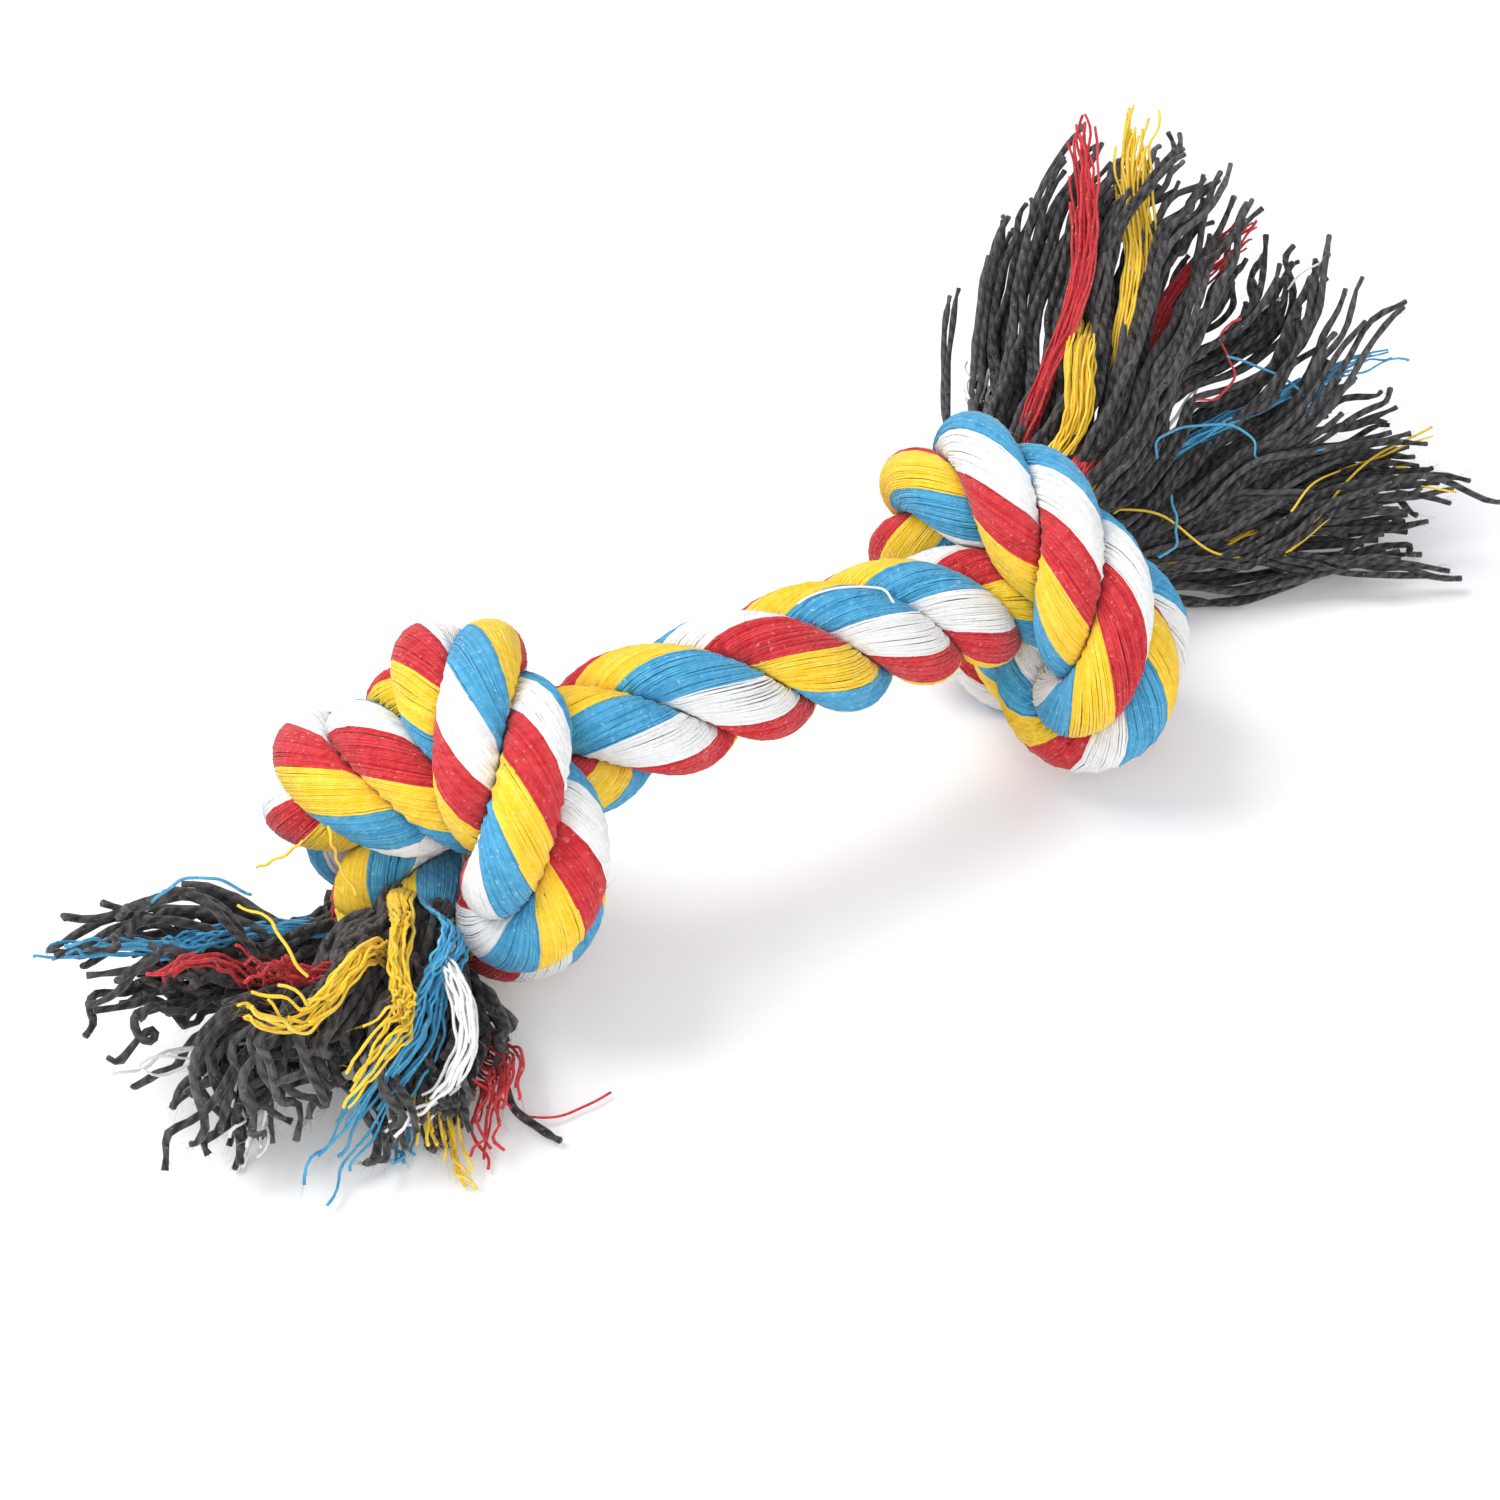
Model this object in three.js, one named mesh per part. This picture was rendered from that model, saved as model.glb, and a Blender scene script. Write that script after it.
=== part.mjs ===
import * as THREE from 'three';

// Driving sizes of the rope, in millimetres. X runs along the toy, Z is up.
const ropeDiameter = 19;
const layLength = 40;
const layStart = 39;
const strandOffset = 4.85;
const strandRadius = 4.75;
const pressedSpacing = 6.9;
const clearance = 0.5;
const knotSpacing = 92;
const middleStep = 10.5;
const footDepth = 1.9;

// Driving sizes of the two tassels.
const leftTasselLength = 48;
const rightTasselLength = 74;
const tuftRingRadius = 2.8;
const tuftRootRadius = 1;
const tuftBellyRadius = 2.4;
const tuftTipRadius = 1.5;
const tuftSpacing = 3.3;

// Counts of stations, facets and settling rounds.
const strandCount = 3;
const strandStations = 140;
const strandSides = 10;
const tuftStations = 25;
const stationsPerTuftRing = 3;
const rootStations = 3;
const tuftSides = 6;
const finePerStation = 6;
const smoothingRounds = 60;
const pressingRounds = 120;
const seatingRounds = 3;

// Half of an overhand knot in rope diameters: from the middle of its crossing, round the
// loop and out along the rope. The other half is the same turned half a turn about Y.
const halfKnotShares = [
  [0, 0.75, 0], [-0.3, 0.75, 0.4], [-0.65, 0.6, 0.75], [-0.95, 0.25, 0.95],
  [-1.1, -0.2, 0.95], [-1.15, -0.65, 0.75], [-1.05, -1, 0.4], [-0.75, -1.1, 0],
  [-0.4, -1, -0.35], [-0.05, -0.7, -0.45], [0.3, -0.35, -0.35], [0.7, -0.15, -0.1],
  [1.15, -0.05, 0],
];

// How each knot is pulled tight and lies, with angles in degrees. The pinch draws in the
// half beside the tassel, which is always on the far side from the other knot. The reach is
// where the rope ends beyond the knot's middle, and the bends move the rope aside where it
// leaves the knot at its left and at its right.
const leftKnot = {
  side: -1, reach: 13, lengthShare: 0.7, widthShare: 0.82, pinchShare: 0.85,
  spin: 240, flatShares: [1, 1], roll: 4.5, tilt: -32.5, turn: -29,
  bends: [[0, -6, -2.5], [0, 2.2, 1]],
};
const rightKnot = {
  side: 1, reach: 22, lengthShare: 0.55, widthShare: 0.88, pinchShare: 0.85,
  spin: 70, flatShares: [0.75, 1.2], roll: -43, tilt: 18.5, turn: 37,
  bends: [[0, 2, 0], [0, 0, 0]],
};
const bendShares = [1, 0.6, 0.2];
const middlePull = 0.8;

// Where each tuft's tip lies, from the end of the rope, as shares of the tassel's length.
const leftTipShares = {
  dark: [
    [-0.95, 0, 0.3], [-1, -0.05, 0.05], [-0.85, -0.3, -0.05], [-0.75, -0.4, -0.1], [-0.55, -0.6, -0.05],
    [-0.3, -0.65, -0.1], [-0.25, -0.75, -0.25], [0.05, -0.9, -0.25], [-0.6, 0.45, 0.1],
  ],
  blue: [[-0.95, 0.1, 0.35], [-0.55, -0.6, -0.25], [-0.35, -0.65, -0.25]],
  white: [[-0.9, -0.25, -0.05], [-0.7, -0.5, -0.15], [-0.4, -0.65, -0.1]],
  red: [[-0.65, -0.3, 0.4], [-0.1, -0.65, -0.15], [-0.8, -0.15, 0.35]],
  yellow: [[-0.7, -0.4, 0.3], [-0.5, -0.6, 0.05], [-0.35, -0.75, -0.25]],
};
const rightTipShares = {
  dark: [
    [0.35, 0.7, 0.1], [0.6, 0.6, 0.5], [0.7, 0.55, 0.5], [0.8, 0.4, 0.45], [0.9, 0.3, 0.3],
    [0.95, 0.1, 0.3], [1, 0, 0], [0.95, -0.25, -0.1], [0.9, -0.3, -0.2],
  ],
  blue: [[0.95, 0.05, 0.1], [0.95, 0.1, -0.2], [0.95, -0.05, 0.2]],
  white: [[0.25, 0.5, 0.15], [0.55, 0.05, -0.2], [0.9, 0.2, 0.35]],
  red: [[0.55, 0.6, 0.6], [0.8, 0.1, 0.15], [0.85, 0.35, 0.4]],
  yellow: [[0.4, 0.4, 0.3], [0.6, 0.45, 0.65], [1, -0.05, -0.1]],
};

// The colours of the seven tufts at a strand's end: one in the middle, then six round it.
const slotColours = ['dark', 'white', 'dark', 'yellow', 'red', 'dark', 'blue'];
const leaveShare = 0.35;
const arriveShare = 0.3;

// Matt cotton: the rope's dark core yarn and the four colours laid over it.
const cotton = (colour) => new THREE.MeshStandardMaterial({ color: colour, roughness: 0.95, metalness: 0 });
const materials = {
  strand: cotton('#c9483f'),
  dark: cotton('#3d3c3b'),
  blue: cotton('#3c96c3'),
  white: cotton('#f0f0ee'),
  red: cotton('#c8232d'),
  yellow: cotton('#f8cd2d'),
};

const vector = (place) => new THREE.Vector3(...place);
const smoothStep = (share) => share * share * (3 - 2 * share);

// Points spread evenly along a smooth curve through the given ones.
function spread(points, count) {
  const curve = new THREE.CatmullRomCurve3(points, false, 'catmullrom', 0.5);
  curve.arcLengthDivisions = 4 * count;
  return curve.getSpacedPoints(count - 1);
}

function smoothed(points, rounds) {
  let current = points;
  for (let round = 0; round < rounds; round += 1) {
    const last = current;
    current = last.map((point, index) => {
      if (index === 0 || index === last.length - 1) return point;
      return point.clone().multiplyScalar(2).add(last[index - 1]).add(last[index + 1]).divideScalar(4);
    });
  }
  return current;
}

// At each point the direction of travel and two square to it, carried along without twist.
function framesAlong(points) {
  let side = new THREE.Vector3(0, 0, 1);
  return points.map((point, index) => {
    const ahead = points[Math.min(index + 1, points.length - 1)];
    const behind = points[Math.max(index - 1, 0)];
    const along = ahead.clone().sub(behind).normalize();
    side = side.clone().addScaledVector(along, -side.dot(along)).normalize();
    return { along, side, across: along.clone().cross(side) };
  });
}

// One knot's rope line about its own middle, tightened and turned as it lies.
function knotLine(knot) {
  const half = halfKnotShares.map(([x, y, z]) => new THREE.Vector3(
    x * knot.lengthShare, y * knot.widthShare, z * knot.widthShare,
  ).multiplyScalar(ropeDiameter));
  const otherHalf = half.slice(1).reverse().map((point) => new THREE.Vector3(-point.x, point.y, -point.z));
  const line = [...otherHalf, ...half];
  for (const point of line) {
    const outward = THREE.MathUtils.clamp((2 * knot.side * point.x) / ropeDiameter, 0, 1);
    const pinch = 1 + (knot.pinchShare - 1) * smoothStep(outward);
    point.y *= pinch;
    point.z *= pinch;
  }
  line.at(knot.side < 0 ? 0 : -1).x = knot.side * knot.reach;
  const spin = new THREE.Matrix4().makeRotationX(THREE.MathUtils.degToRad(knot.spin));
  const flatten = new THREE.Matrix4().makeScale(1, ...knot.flatShares);
  const angles = [knot.roll, knot.tilt, knot.turn].map(THREE.MathUtils.degToRad);
  const turn = new THREE.Matrix4().makeRotationFromEuler(new THREE.Euler(...angles, 'ZYX'));
  for (const point of line) point.applyMatrix4(spin).applyMatrix4(flatten).applyMatrix4(turn);
  bendShares.forEach((share, index) => {
    line[index].addScaledVector(vector(knot.bends[0]), share);
    line.at(-1 - index).addScaledVector(vector(knot.bends[1]), share);
  });
  return line;
}

// The rope between the knots: it leaves one and enters the other along their own directions.
function middleLine(left, right) {
  const start = left.at(-1);
  const finish = right[0];
  const gap = start.distanceTo(finish);
  const leaving = start.clone().sub(left.at(-2)).setLength(middlePull * gap);
  const entering = right[1].clone().sub(finish).setLength(middlePull * gap);
  const steps = Math.max(2, Math.round(gap / middleStep));
  const points = [];
  for (let step = 1; step < steps; step += 1) {
    const t = step / steps;
    const rise = t * t * (3 - 2 * t);
    const point = start.clone().multiplyScalar(1 - rise).addScaledVector(finish, rise);
    point.addScaledVector(leaving, t * (1 - t) * (1 - t));
    point.addScaledVector(entering, -t * t * (1 - t));
    points.push(point);
  }
  return points;
}

// Three helices round the rope's line, one per strand.
function laidStrands(ropePoints) {
  const fine = smoothed(spread(ropePoints, strandStations * finePerStation), smoothingRounds);
  const frames = framesAlong(fine);
  const step = fine[0].distanceTo(fine[1]);
  const strands = Array.from({ length: strandCount }, () => []);
  for (let station = 0; station < strandStations; station += 1) {
    const index = Math.round((station * (fine.length - 1)) / (strandStations - 1));
    const { side, across } = frames[index];
    for (let strand = 0; strand < strandCount; strand += 1) {
      const turns = (index * step) / layLength + strand / strandCount + layStart / 360;
      const angle = 2 * Math.PI * turns;
      const point = fine[index].clone().addScaledVector(side, strandOffset * Math.cos(angle));
      strands[strand].push(point.addScaledVector(across, strandOffset * Math.sin(angle)));
    }
  }
  return strands;
}

// Pushes the lines apart where they are nearer than spacing, as the packed cotton does.
// A station's own line counts past skip stations, and the first held stations stay put.
function pressedApart(lines, { spacing, skip, rounds, held = 0, adjust = () => {} }) {
  const home = lines.map((line) => line.map((point) => point.clone()));
  const shift = lines.map((line) => line.map(() => new THREE.Vector3()));
  const current = lines.map((line) => line.map((point) => point.clone()));
  for (let round = 0; round < rounds; round += 1) {
    const pushes = current.map((line, own) => line.map((point, station) => {
      const push = new THREE.Vector3();
      let contacts = 0;
      current.forEach((other, index) => other.forEach((near, at) => {
        if (index === own && Math.abs(at - station) <= skip) return;
        const squared = point.distanceToSquared(near);
        if (squared >= spacing * spacing) return;
        const distance = Math.sqrt(squared);
        push.addScaledVector(point, (spacing - distance) / distance / 2);
        push.addScaledVector(near, -(spacing - distance) / distance / 2);
        contacts += 1;
      }));
      return push.divideScalar(Math.max(contacts, 1));
    }));
    current.forEach((line, own) => line.forEach((point, station) => {
      if (station >= held) shift[own][station].add(pushes[own][station]);
    }));
    shift.forEach((line, own) => {
      shift[own] = smoothed(line, 1).map((move, station) => (station < held ? move : move.multiplyScalar(0.995)));
    });
    current.forEach((line, own) => line.forEach((point, station) => {
      point.copy(home[own][station]).add(shift[own][station]);
      adjust(point, own, station);
    }));
  }
  return current;
}

// The strands with both knots resting on the plane Z = 0, a foot's depth pressed into it.
function seatedStrands() {
  const left = knotLine(leftKnot).map((point) => point.setX(point.x - knotSpacing / 2));
  const right = knotLine(rightKnot).map((point) => point.setX(point.x + knotSpacing / 2));
  let strands = [];
  for (let round = 0; round < seatingRounds; round += 1) {
    const laid = laidStrands([...left, ...middleLine(left, right), ...right]);
    strands = pressedApart(laid, { spacing: pressedSpacing, skip: 5, rounds: pressingRounds });
    for (const line of [left, right]) {
      const onSide = (point) => (line === left) === (point.x < 0);
      const lowest = Math.min(...strands.flat().filter(onSide).map((point) => point.z));
      const rise = strandRadius - footDepth - lowest;
      for (const point of line) point.z += rise;
    }
  }
  return strands;
}

// Pairs each place at the rope's end with the tip that lies most nearly the same way, by
// going round the rope's axis in step from the best start.
function pairedTips(places, tips) {
  const cost = (shift) => places.reduce((sum, place, index) => {
    const tip = tips[(index + shift) % tips.length];
    return sum + Math.abs(Math.atan2(Math.sin(place.angle - tip.angle), Math.cos(place.angle - tip.angle)));
  }, 0);
  const shifts = tips.map((tip, index) => index);
  const best = shifts.reduce((least, shift) => (cost(shift) < cost(least) ? shift : least), 0);
  return places.map((place, index) => tips[(index + best) % tips.length]);
}

// The centre lines of one tassel's tufts, from the strands' ends out to the tips.
function tuftLines(strands, prefix, length, tipShares) {
  const ends = strands.map((line) => (prefix === 'left' ? [line[0], line[1]] : [line.at(-1), line.at(-2)]));
  const middle = ends.reduce((sum, [end]) => sum.add(end), new THREE.Vector3()).divideScalar(strandCount);
  const inner = ends.reduce((sum, [, before]) => sum.add(before), new THREE.Vector3()).divideScalar(strandCount);
  const axis = middle.clone().sub(inner).normalize();
  const side = new THREE.Vector3(0, 0, 1).addScaledVector(axis, -axis.z).normalize();
  const across = axis.clone().cross(side);
  const angleOf = (offset) => Math.atan2(offset.dot(across), offset.dot(side));
  const places = [];
  ends.forEach(([end, before], strand) => {
    const out = end.clone().sub(before).normalize();
    const up = side.clone().addScaledVector(out, -side.dot(out)).normalize();
    const over = out.clone().cross(up);
    slotColours.forEach((colour, slot) => {
      const reach = slot === 0 ? 0 : tuftRingRadius;
      const angle = (2 * Math.PI * slot) / (slotColours.length - 1);
      const root = end.clone().addScaledVector(out, clearance);
      root.addScaledVector(up, reach * Math.cos(angle)).addScaledVector(over, reach * Math.sin(angle));
      places.push({ colour, strand, root, out, angle: angleOf(root.clone().sub(middle)) });
    });
  });
  const tufts = [];
  for (const [colour, shares] of Object.entries(tipShares)) {
    const byAngle = (first, second) => first.angle - second.angle;
    const tips = shares.map((share) => {
      const offset = vector(share).multiplyScalar(length);
      return { point: middle.clone().add(offset), angle: angleOf(offset) };
    }).sort(byAngle);
    const sameColour = places.filter((place) => place.colour === colour).sort(byAngle);
    pairedTips(sameColour, tips).forEach((tip, index) => {
      const { root, out, strand } = sameColour[index];
      tip.point.z = Math.max(tip.point.z, tuftTipRadius);
      const run = tip.point.clone().sub(root);
      const bend = new THREE.CubicBezierCurve3(
        root,
        root.clone().addScaledVector(out, leaveShare * run.length()),
        tip.point.clone().addScaledVector(run, -arriveShare),
        tip.point,
      );
      const line = bend.getSpacedPoints(tuftStations - 1);
      tufts.push({ name: `${prefix}_tuft_${colour}_${index + 1}`, colour, strand, prefix, line });
    });
  }
  return tufts;
}

// A tuft swells from its root to its belly and narrows again to its cut tip.
function tuftRadius(station) {
  const along = station / (tuftStations - 1);
  const end = along < 0.5 ? tuftRootRadius : tuftTipRadius;
  return end + (tuftBellyRadius - end) * smoothStep(1 - Math.abs(2 * along - 1));
}

// Moves the tufts clear of the strands, of each other and of the plane they lie on.
function settledTufts(tufts, strands) {
  const adjust = (point, own, station) => {
    const { strand: root, prefix } = tufts[own];
    const radius = tuftRadius(station);
    const wanted = strandRadius + radius + clearance;
    if (station >= rootStations) {
      strands.forEach((line, strand) => line.forEach((near, at) => {
        const fromEnd = prefix === 'left' ? at : line.length - 1 - at;
        if (strand === root && fromEnd < rootStations) return;
        const distance = point.distanceTo(near);
        if (distance < wanted) point.sub(near).multiplyScalar(wanted / distance).add(near);
      }));
    }
    point.z = Math.max(point.z, radius - clearance);
  };
  const lines = pressedApart(tufts.map((tuft) => tuft.line), {
    spacing: tuftSpacing, skip: tuftStations, rounds: pressingRounds, held: rootStations, adjust,
  });
  return tufts.map((tuft, index) => ({ ...tuft, line: lines[index] }));
}

// A line doesn't limit itself nearby, nor does a strand limit the roots that stand on it.
function apart(body, station, other, at) {
  if (other === body) return !body.isTuft && Math.abs(at - station) * body.step > ropeDiameter;
  if (other.strand !== body.strand || other.isTuft === body.isTuft) return true;
  return (body.isTuft ? station : at) >= rootStations;
}

// The other lines' points that are near enough to limit a ring of this body.
function neighboursOf(body, station, bodies) {
  const radius = body.radius(station);
  const found = [];
  for (const other of bodies) {
    other.dense.forEach(({ point, at }) => {
      if (!apart(body, station, other, at)) return;
      const offset = point.clone().sub(body.line[station]);
      const otherRadius = other.radius(at);
      const squared = offset.lengthSq();
      if (squared > 4 * (radius + otherRadius) ** 2) return;
      found.push({ offset, gap: (squared + radius ** 2 - otherRadius ** 2) / 2 });
    });
  }
  return found;
}

// How far each corner of a ring may stand out from the centre line: to the body's radius,
// to the plane that parts it from each neighbour, less half the clearance, and to the ground.
function ringReaches(body, station, frame, bodies) {
  const neighbours = neighboursOf(body, station, bodies);
  const ground = body.line[station].z;
  return ringDirections(body, frame).map((direction) => {
    let reach = body.radius(station);
    for (const { offset, gap } of neighbours) {
      const facing = offset.dot(direction);
      if (facing > 0) reach = Math.min(reach, gap / facing - clearance / 2);
    }
    return direction.z < 0 ? Math.min(reach, -ground / direction.z) : reach;
  });
}

function ringDirections(body, { side, across }) {
  return Array.from({ length: body.sides }, (unused, corner) => {
    const angle = (2 * Math.PI * corner) / body.sides;
    return side.clone().multiplyScalar(Math.cos(angle)).addScaledVector(across, Math.sin(angle));
  });
}

// One closed solid: rings of corners along the line and a flat cap at each end. A ring's
// corners reach no further than those of the stations on either side of it allow.
function bodyGeometry(body, bodies) {
  const frames = framesAlong(body.line);
  const reaches = body.line.map((point, station) => ringReaches(body, station, frames[station], bodies));
  const corners = [];
  for (let station = 0; station < body.line.length; station += body.ringEvery) {
    const from = Math.max(station - body.ringEvery + 1, 0);
    const near = reaches.slice(from, station + body.ringEvery);
    ringDirections(body, frames[station]).forEach((direction, corner) => {
      const reach = Math.min(...near.map((ring) => ring[corner]));
      corners.push(body.line[station].clone().addScaledVector(direction, reach));
    });
  }
  const firstCap = corners.length;
  const lastRing = firstCap - body.sides;
  corners.push(body.line[0], body.line.at(-1));
  const faces = [];
  for (let corner = 0; corner < body.sides; corner += 1) {
    const next = (corner + 1) % body.sides;
    for (let here = 0; here < lastRing; here += body.sides) {
      const there = here + body.sides;
      faces.push(here + corner, here + next, there + next, here + corner, there + next, there + corner);
    }
    faces.push(firstCap, next, corner, firstCap + 1, lastRing + corner, lastRing + next);
  }
  const geometry = new THREE.BufferGeometry().setFromPoints(corners);
  geometry.setIndex(faces);
  geometry.computeVertexNormals();
  return geometry;
}

// Points between the stations too, so that a neighbour's ring sees an unbroken line.
function densePoints(line, perStep) {
  return line.flatMap((point, at) => Array.from({ length: at < line.length - 1 ? perStep : 1 }, (unused, part) => (
    { point: point.clone().lerp(line[Math.min(at + 1, line.length - 1)], part / perStep), at: at + part / perStep }
  )));
}

function strandBody(line, index) {
  return {
    name: `strand_${index + 1}`, colour: 'strand', strand: index, isTuft: false, line,
    step: line[0].distanceTo(line[1]), dense: densePoints(line, 3),
    radius: () => strandRadius, sides: strandSides, ringEvery: 1,
  };
}

function tuftBody(tuft) {
  return {
    ...tuft, isTuft: true, dense: densePoints(tuft.line, 2),
    radius: tuftRadius, sides: tuftSides, ringEvery: stationsPerTuftRing,
  };
}

const strands = seatedStrands();
const tufts = settledTufts([
  ...tuftLines(strands, 'left', leftTasselLength, leftTipShares),
  ...tuftLines(strands, 'right', rightTasselLength, rightTipShares),
], strands);
const bodies = [...strands.map(strandBody), ...tufts.map(tuftBody)];

const toy = new THREE.Group();
for (const body of bodies) {
  const mesh = new THREE.Mesh(bodyGeometry(body, bodies), materials[body.colour]);
  mesh.name = body.name;
  toy.add(mesh);
}

// The origin is under the middle of the toy's box, on the plane it rests on.
const box = new THREE.Box3().setFromObject(toy);
toy.position.set(-(box.min.x + box.max.x) / 2, -(box.min.y + box.max.y) / 2, -box.min.z);

export default toy;
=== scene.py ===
import bpy
import math
import numpy as np
from mathutils import Matrix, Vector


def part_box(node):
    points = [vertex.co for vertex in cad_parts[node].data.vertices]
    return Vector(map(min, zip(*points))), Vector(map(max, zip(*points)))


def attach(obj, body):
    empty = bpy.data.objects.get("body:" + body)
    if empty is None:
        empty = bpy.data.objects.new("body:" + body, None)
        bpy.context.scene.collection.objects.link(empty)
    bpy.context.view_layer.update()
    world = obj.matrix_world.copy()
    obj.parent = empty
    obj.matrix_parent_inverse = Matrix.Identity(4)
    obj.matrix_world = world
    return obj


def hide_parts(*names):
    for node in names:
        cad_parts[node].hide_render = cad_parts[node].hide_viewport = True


# Rope dog toy: three twisted cotton strands, two overhand knots, two tassels of loose yarn.
# Metres throughout. The frame holds the solids, and the pieces made here take their places.

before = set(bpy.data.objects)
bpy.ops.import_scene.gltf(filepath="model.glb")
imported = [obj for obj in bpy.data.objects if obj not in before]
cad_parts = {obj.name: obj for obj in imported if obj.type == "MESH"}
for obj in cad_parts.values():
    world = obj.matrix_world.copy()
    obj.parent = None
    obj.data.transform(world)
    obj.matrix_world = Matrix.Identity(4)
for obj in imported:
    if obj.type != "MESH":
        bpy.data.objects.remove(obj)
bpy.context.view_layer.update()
random = np.random.default_rng(41)

rope = {
    "strands": 3,
    "diameter": 0.019,
    "lay": 0.040,              # rope length for one full turn of a strand
    "layStart": 39,            # angle of the first strand at the rope's left end, in degrees
    "strandOffset": 0.00485,   # rope axis to strand axis
    "strandRadius": 0.00475,
    "pressedSpacing": 0.0069,  # strand axes stay this far apart inside a knot
    "gap": 0.0003,             # left between two strands' surfaces
    "knotSpacing": 0.092,
    "middlePull": 0.8,         # how straight the rope runs on where it leaves a knot
    "middleStep": 0.0105,      # between the points of the rope's middle
    "footDepth": 0.0019,       # how deep each knot is pressed flat on the ground
    "curveSteps": 24,          # points to a span of the curve before it is cut evenly
    "stations": 140,
    "finePerStation": 6,
    "smoothingRounds": 60,
    "pressingRounds": 120,
    "pressingKept": 0.995,     # share of the push that lasts from one round to the next
    "pressingSkip": 5,         # nearer stations of one strand don't push each other
    "seatingRounds": 3,
}
tiny = 1e-12                   # keeps a division from having nought under it
farAway = 1.0                  # further than anything on the toy

# half an overhand knot in rope diameters; the other half is this one turned about Y
halfKnotShares = [
    [0, 0.75, 0], [-0.3, 0.75, 0.4], [-0.65, 0.6, 0.75], [-0.95, 0.25, 0.95],
    [-1.1, -0.2, 0.95], [-1.15, -0.65, 0.75], [-1.05, -1, 0.4], [-0.75, -1.1, 0],
    [-0.4, -1, -0.35], [-0.05, -0.7, -0.45], [0.3, -0.35, -0.35], [0.7, -0.15, -0.1],
    [1.15, -0.05, 0],
]

# How each knot is pulled tight and lies, with angles in degrees. The pinch draws in the half beside
# the tassel, the reach is where the rope ends beyond the knot's middle, and the bends move the rope
# aside where it leaves the knot at its left and at its right.
leftKnot = {
    "side": -1, "reach": 0.013, "lengthShare": 0.7, "widthShare": 0.82, "pinchShare": 0.85,
    "spin": 240, "flatShares": (1, 1), "roll": 4.5, "tilt": -32.5, "turn": -29,
    "bends": ((0, -0.006, -0.0025), (0, 0.0022, 0.001)),
}
rightKnot = {
    "side": 1, "reach": 0.022, "lengthShare": 0.55, "widthShare": 0.88, "pinchShare": 0.85,
    "spin": 70, "flatShares": (0.75, 1.2), "roll": -43, "tilt": 18.5, "turn": 37,
    "bends": ((0, 0.002, 0), (0, 0, 0)),
}
bendShares = (1, 0.6, 0.2)


# A vector divided by its own length.
def unit(v):
    return v / np.maximum(np.linalg.norm(v, axis=-1, keepdims=True), tiny)


# An eased step from nought to one: three squares less two cubes.
def smoothStep(x):
    x = np.clip(x, 0, 1)
    return x * x * (3 - 2 * x)


# A smooth curve through the points: cubics that pass each point with half the step from the point
# before it to the one after it, with the ends reflected.
def throughPoints(points, perSpan):
    p = np.asarray(points, float)
    q = np.vstack([2 * p[0] - p[1], p, 2 * p[-1] - p[-2]])
    t = np.linspace(0, 1, perSpan, endpoint=False)[None, :, None]
    a, b, c, d = (q[k:len(q) - 3 + k][:, None, :] for k in range(4))
    square, cube = 2 * a - 5 * b + 4 * c - d, 3 * b - a - 3 * c + d
    spans = 0.5 * (2 * b + (c - a) * t + square * t**2 + cube * t**3)
    return np.vstack([spans.reshape(-1, 3), p[-1:]])


# The same line cut into equal lengths, each point read off between the two given ones beside it.
def evenly(points, count):
    steps = np.linalg.norm(np.diff(points, axis=0), axis=1)
    along = np.concatenate([[0], np.cumsum(steps)])
    at = np.linspace(0, along[-1], count)
    return np.stack([np.interp(at, along, points[:, k]) for k in range(3)], 1)


# Each inner point moves to half of itself and a quarter of each of its two neighbours.
def eased(lines):
    moved = lines.copy()
    moved[..., 1:-1, :] = 0.25 * lines[..., :-2, :] + 0.5 * lines[..., 1:-1, :] + 0.25 * lines[..., 2:, :]
    return moved


# The same easing a number of times over.
def smoothedLine(points, rounds):
    for _ in range(rounds):
        points = eased(points)
    return points


# Direction of travel and two directions square to it, for many lines at once, without twist: the
# side at each point is the last one less its part along the line, and the third is the cross product.
def carriedFrames(lines):
    along = np.empty_like(lines)
    along[:, 1:-1] = lines[:, 2:] - lines[:, :-2]
    along[:, 0] = lines[:, 1] - lines[:, 0]
    along[:, -1] = lines[:, -1] - lines[:, -2]
    along = unit(along)
    side = np.empty_like(lines)
    carried = np.broadcast_to([0.0, 0.0, 1.0], lines[:, 0].shape)
    for i in range(lines.shape[1]):
        t = along[:, i]
        carried = unit(carried - t * (carried * t).sum(1, keepdims=True))
        side[:, i] = carried
    return along, side, np.cross(along, side)


# Directions all round a line: the first axis times the angle's cosine plus the second times its sine.
def ringRays(angles, first, second):
    return np.cos(angles)[:, None] * first[..., None, :] + np.sin(angles)[:, None] * second[..., None, :]


# The matrix of a turn about X, Y or Z.
def turnMatrix(axis, degrees):
    return np.array(Matrix.Rotation(math.radians(degrees), 3, axis))


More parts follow.
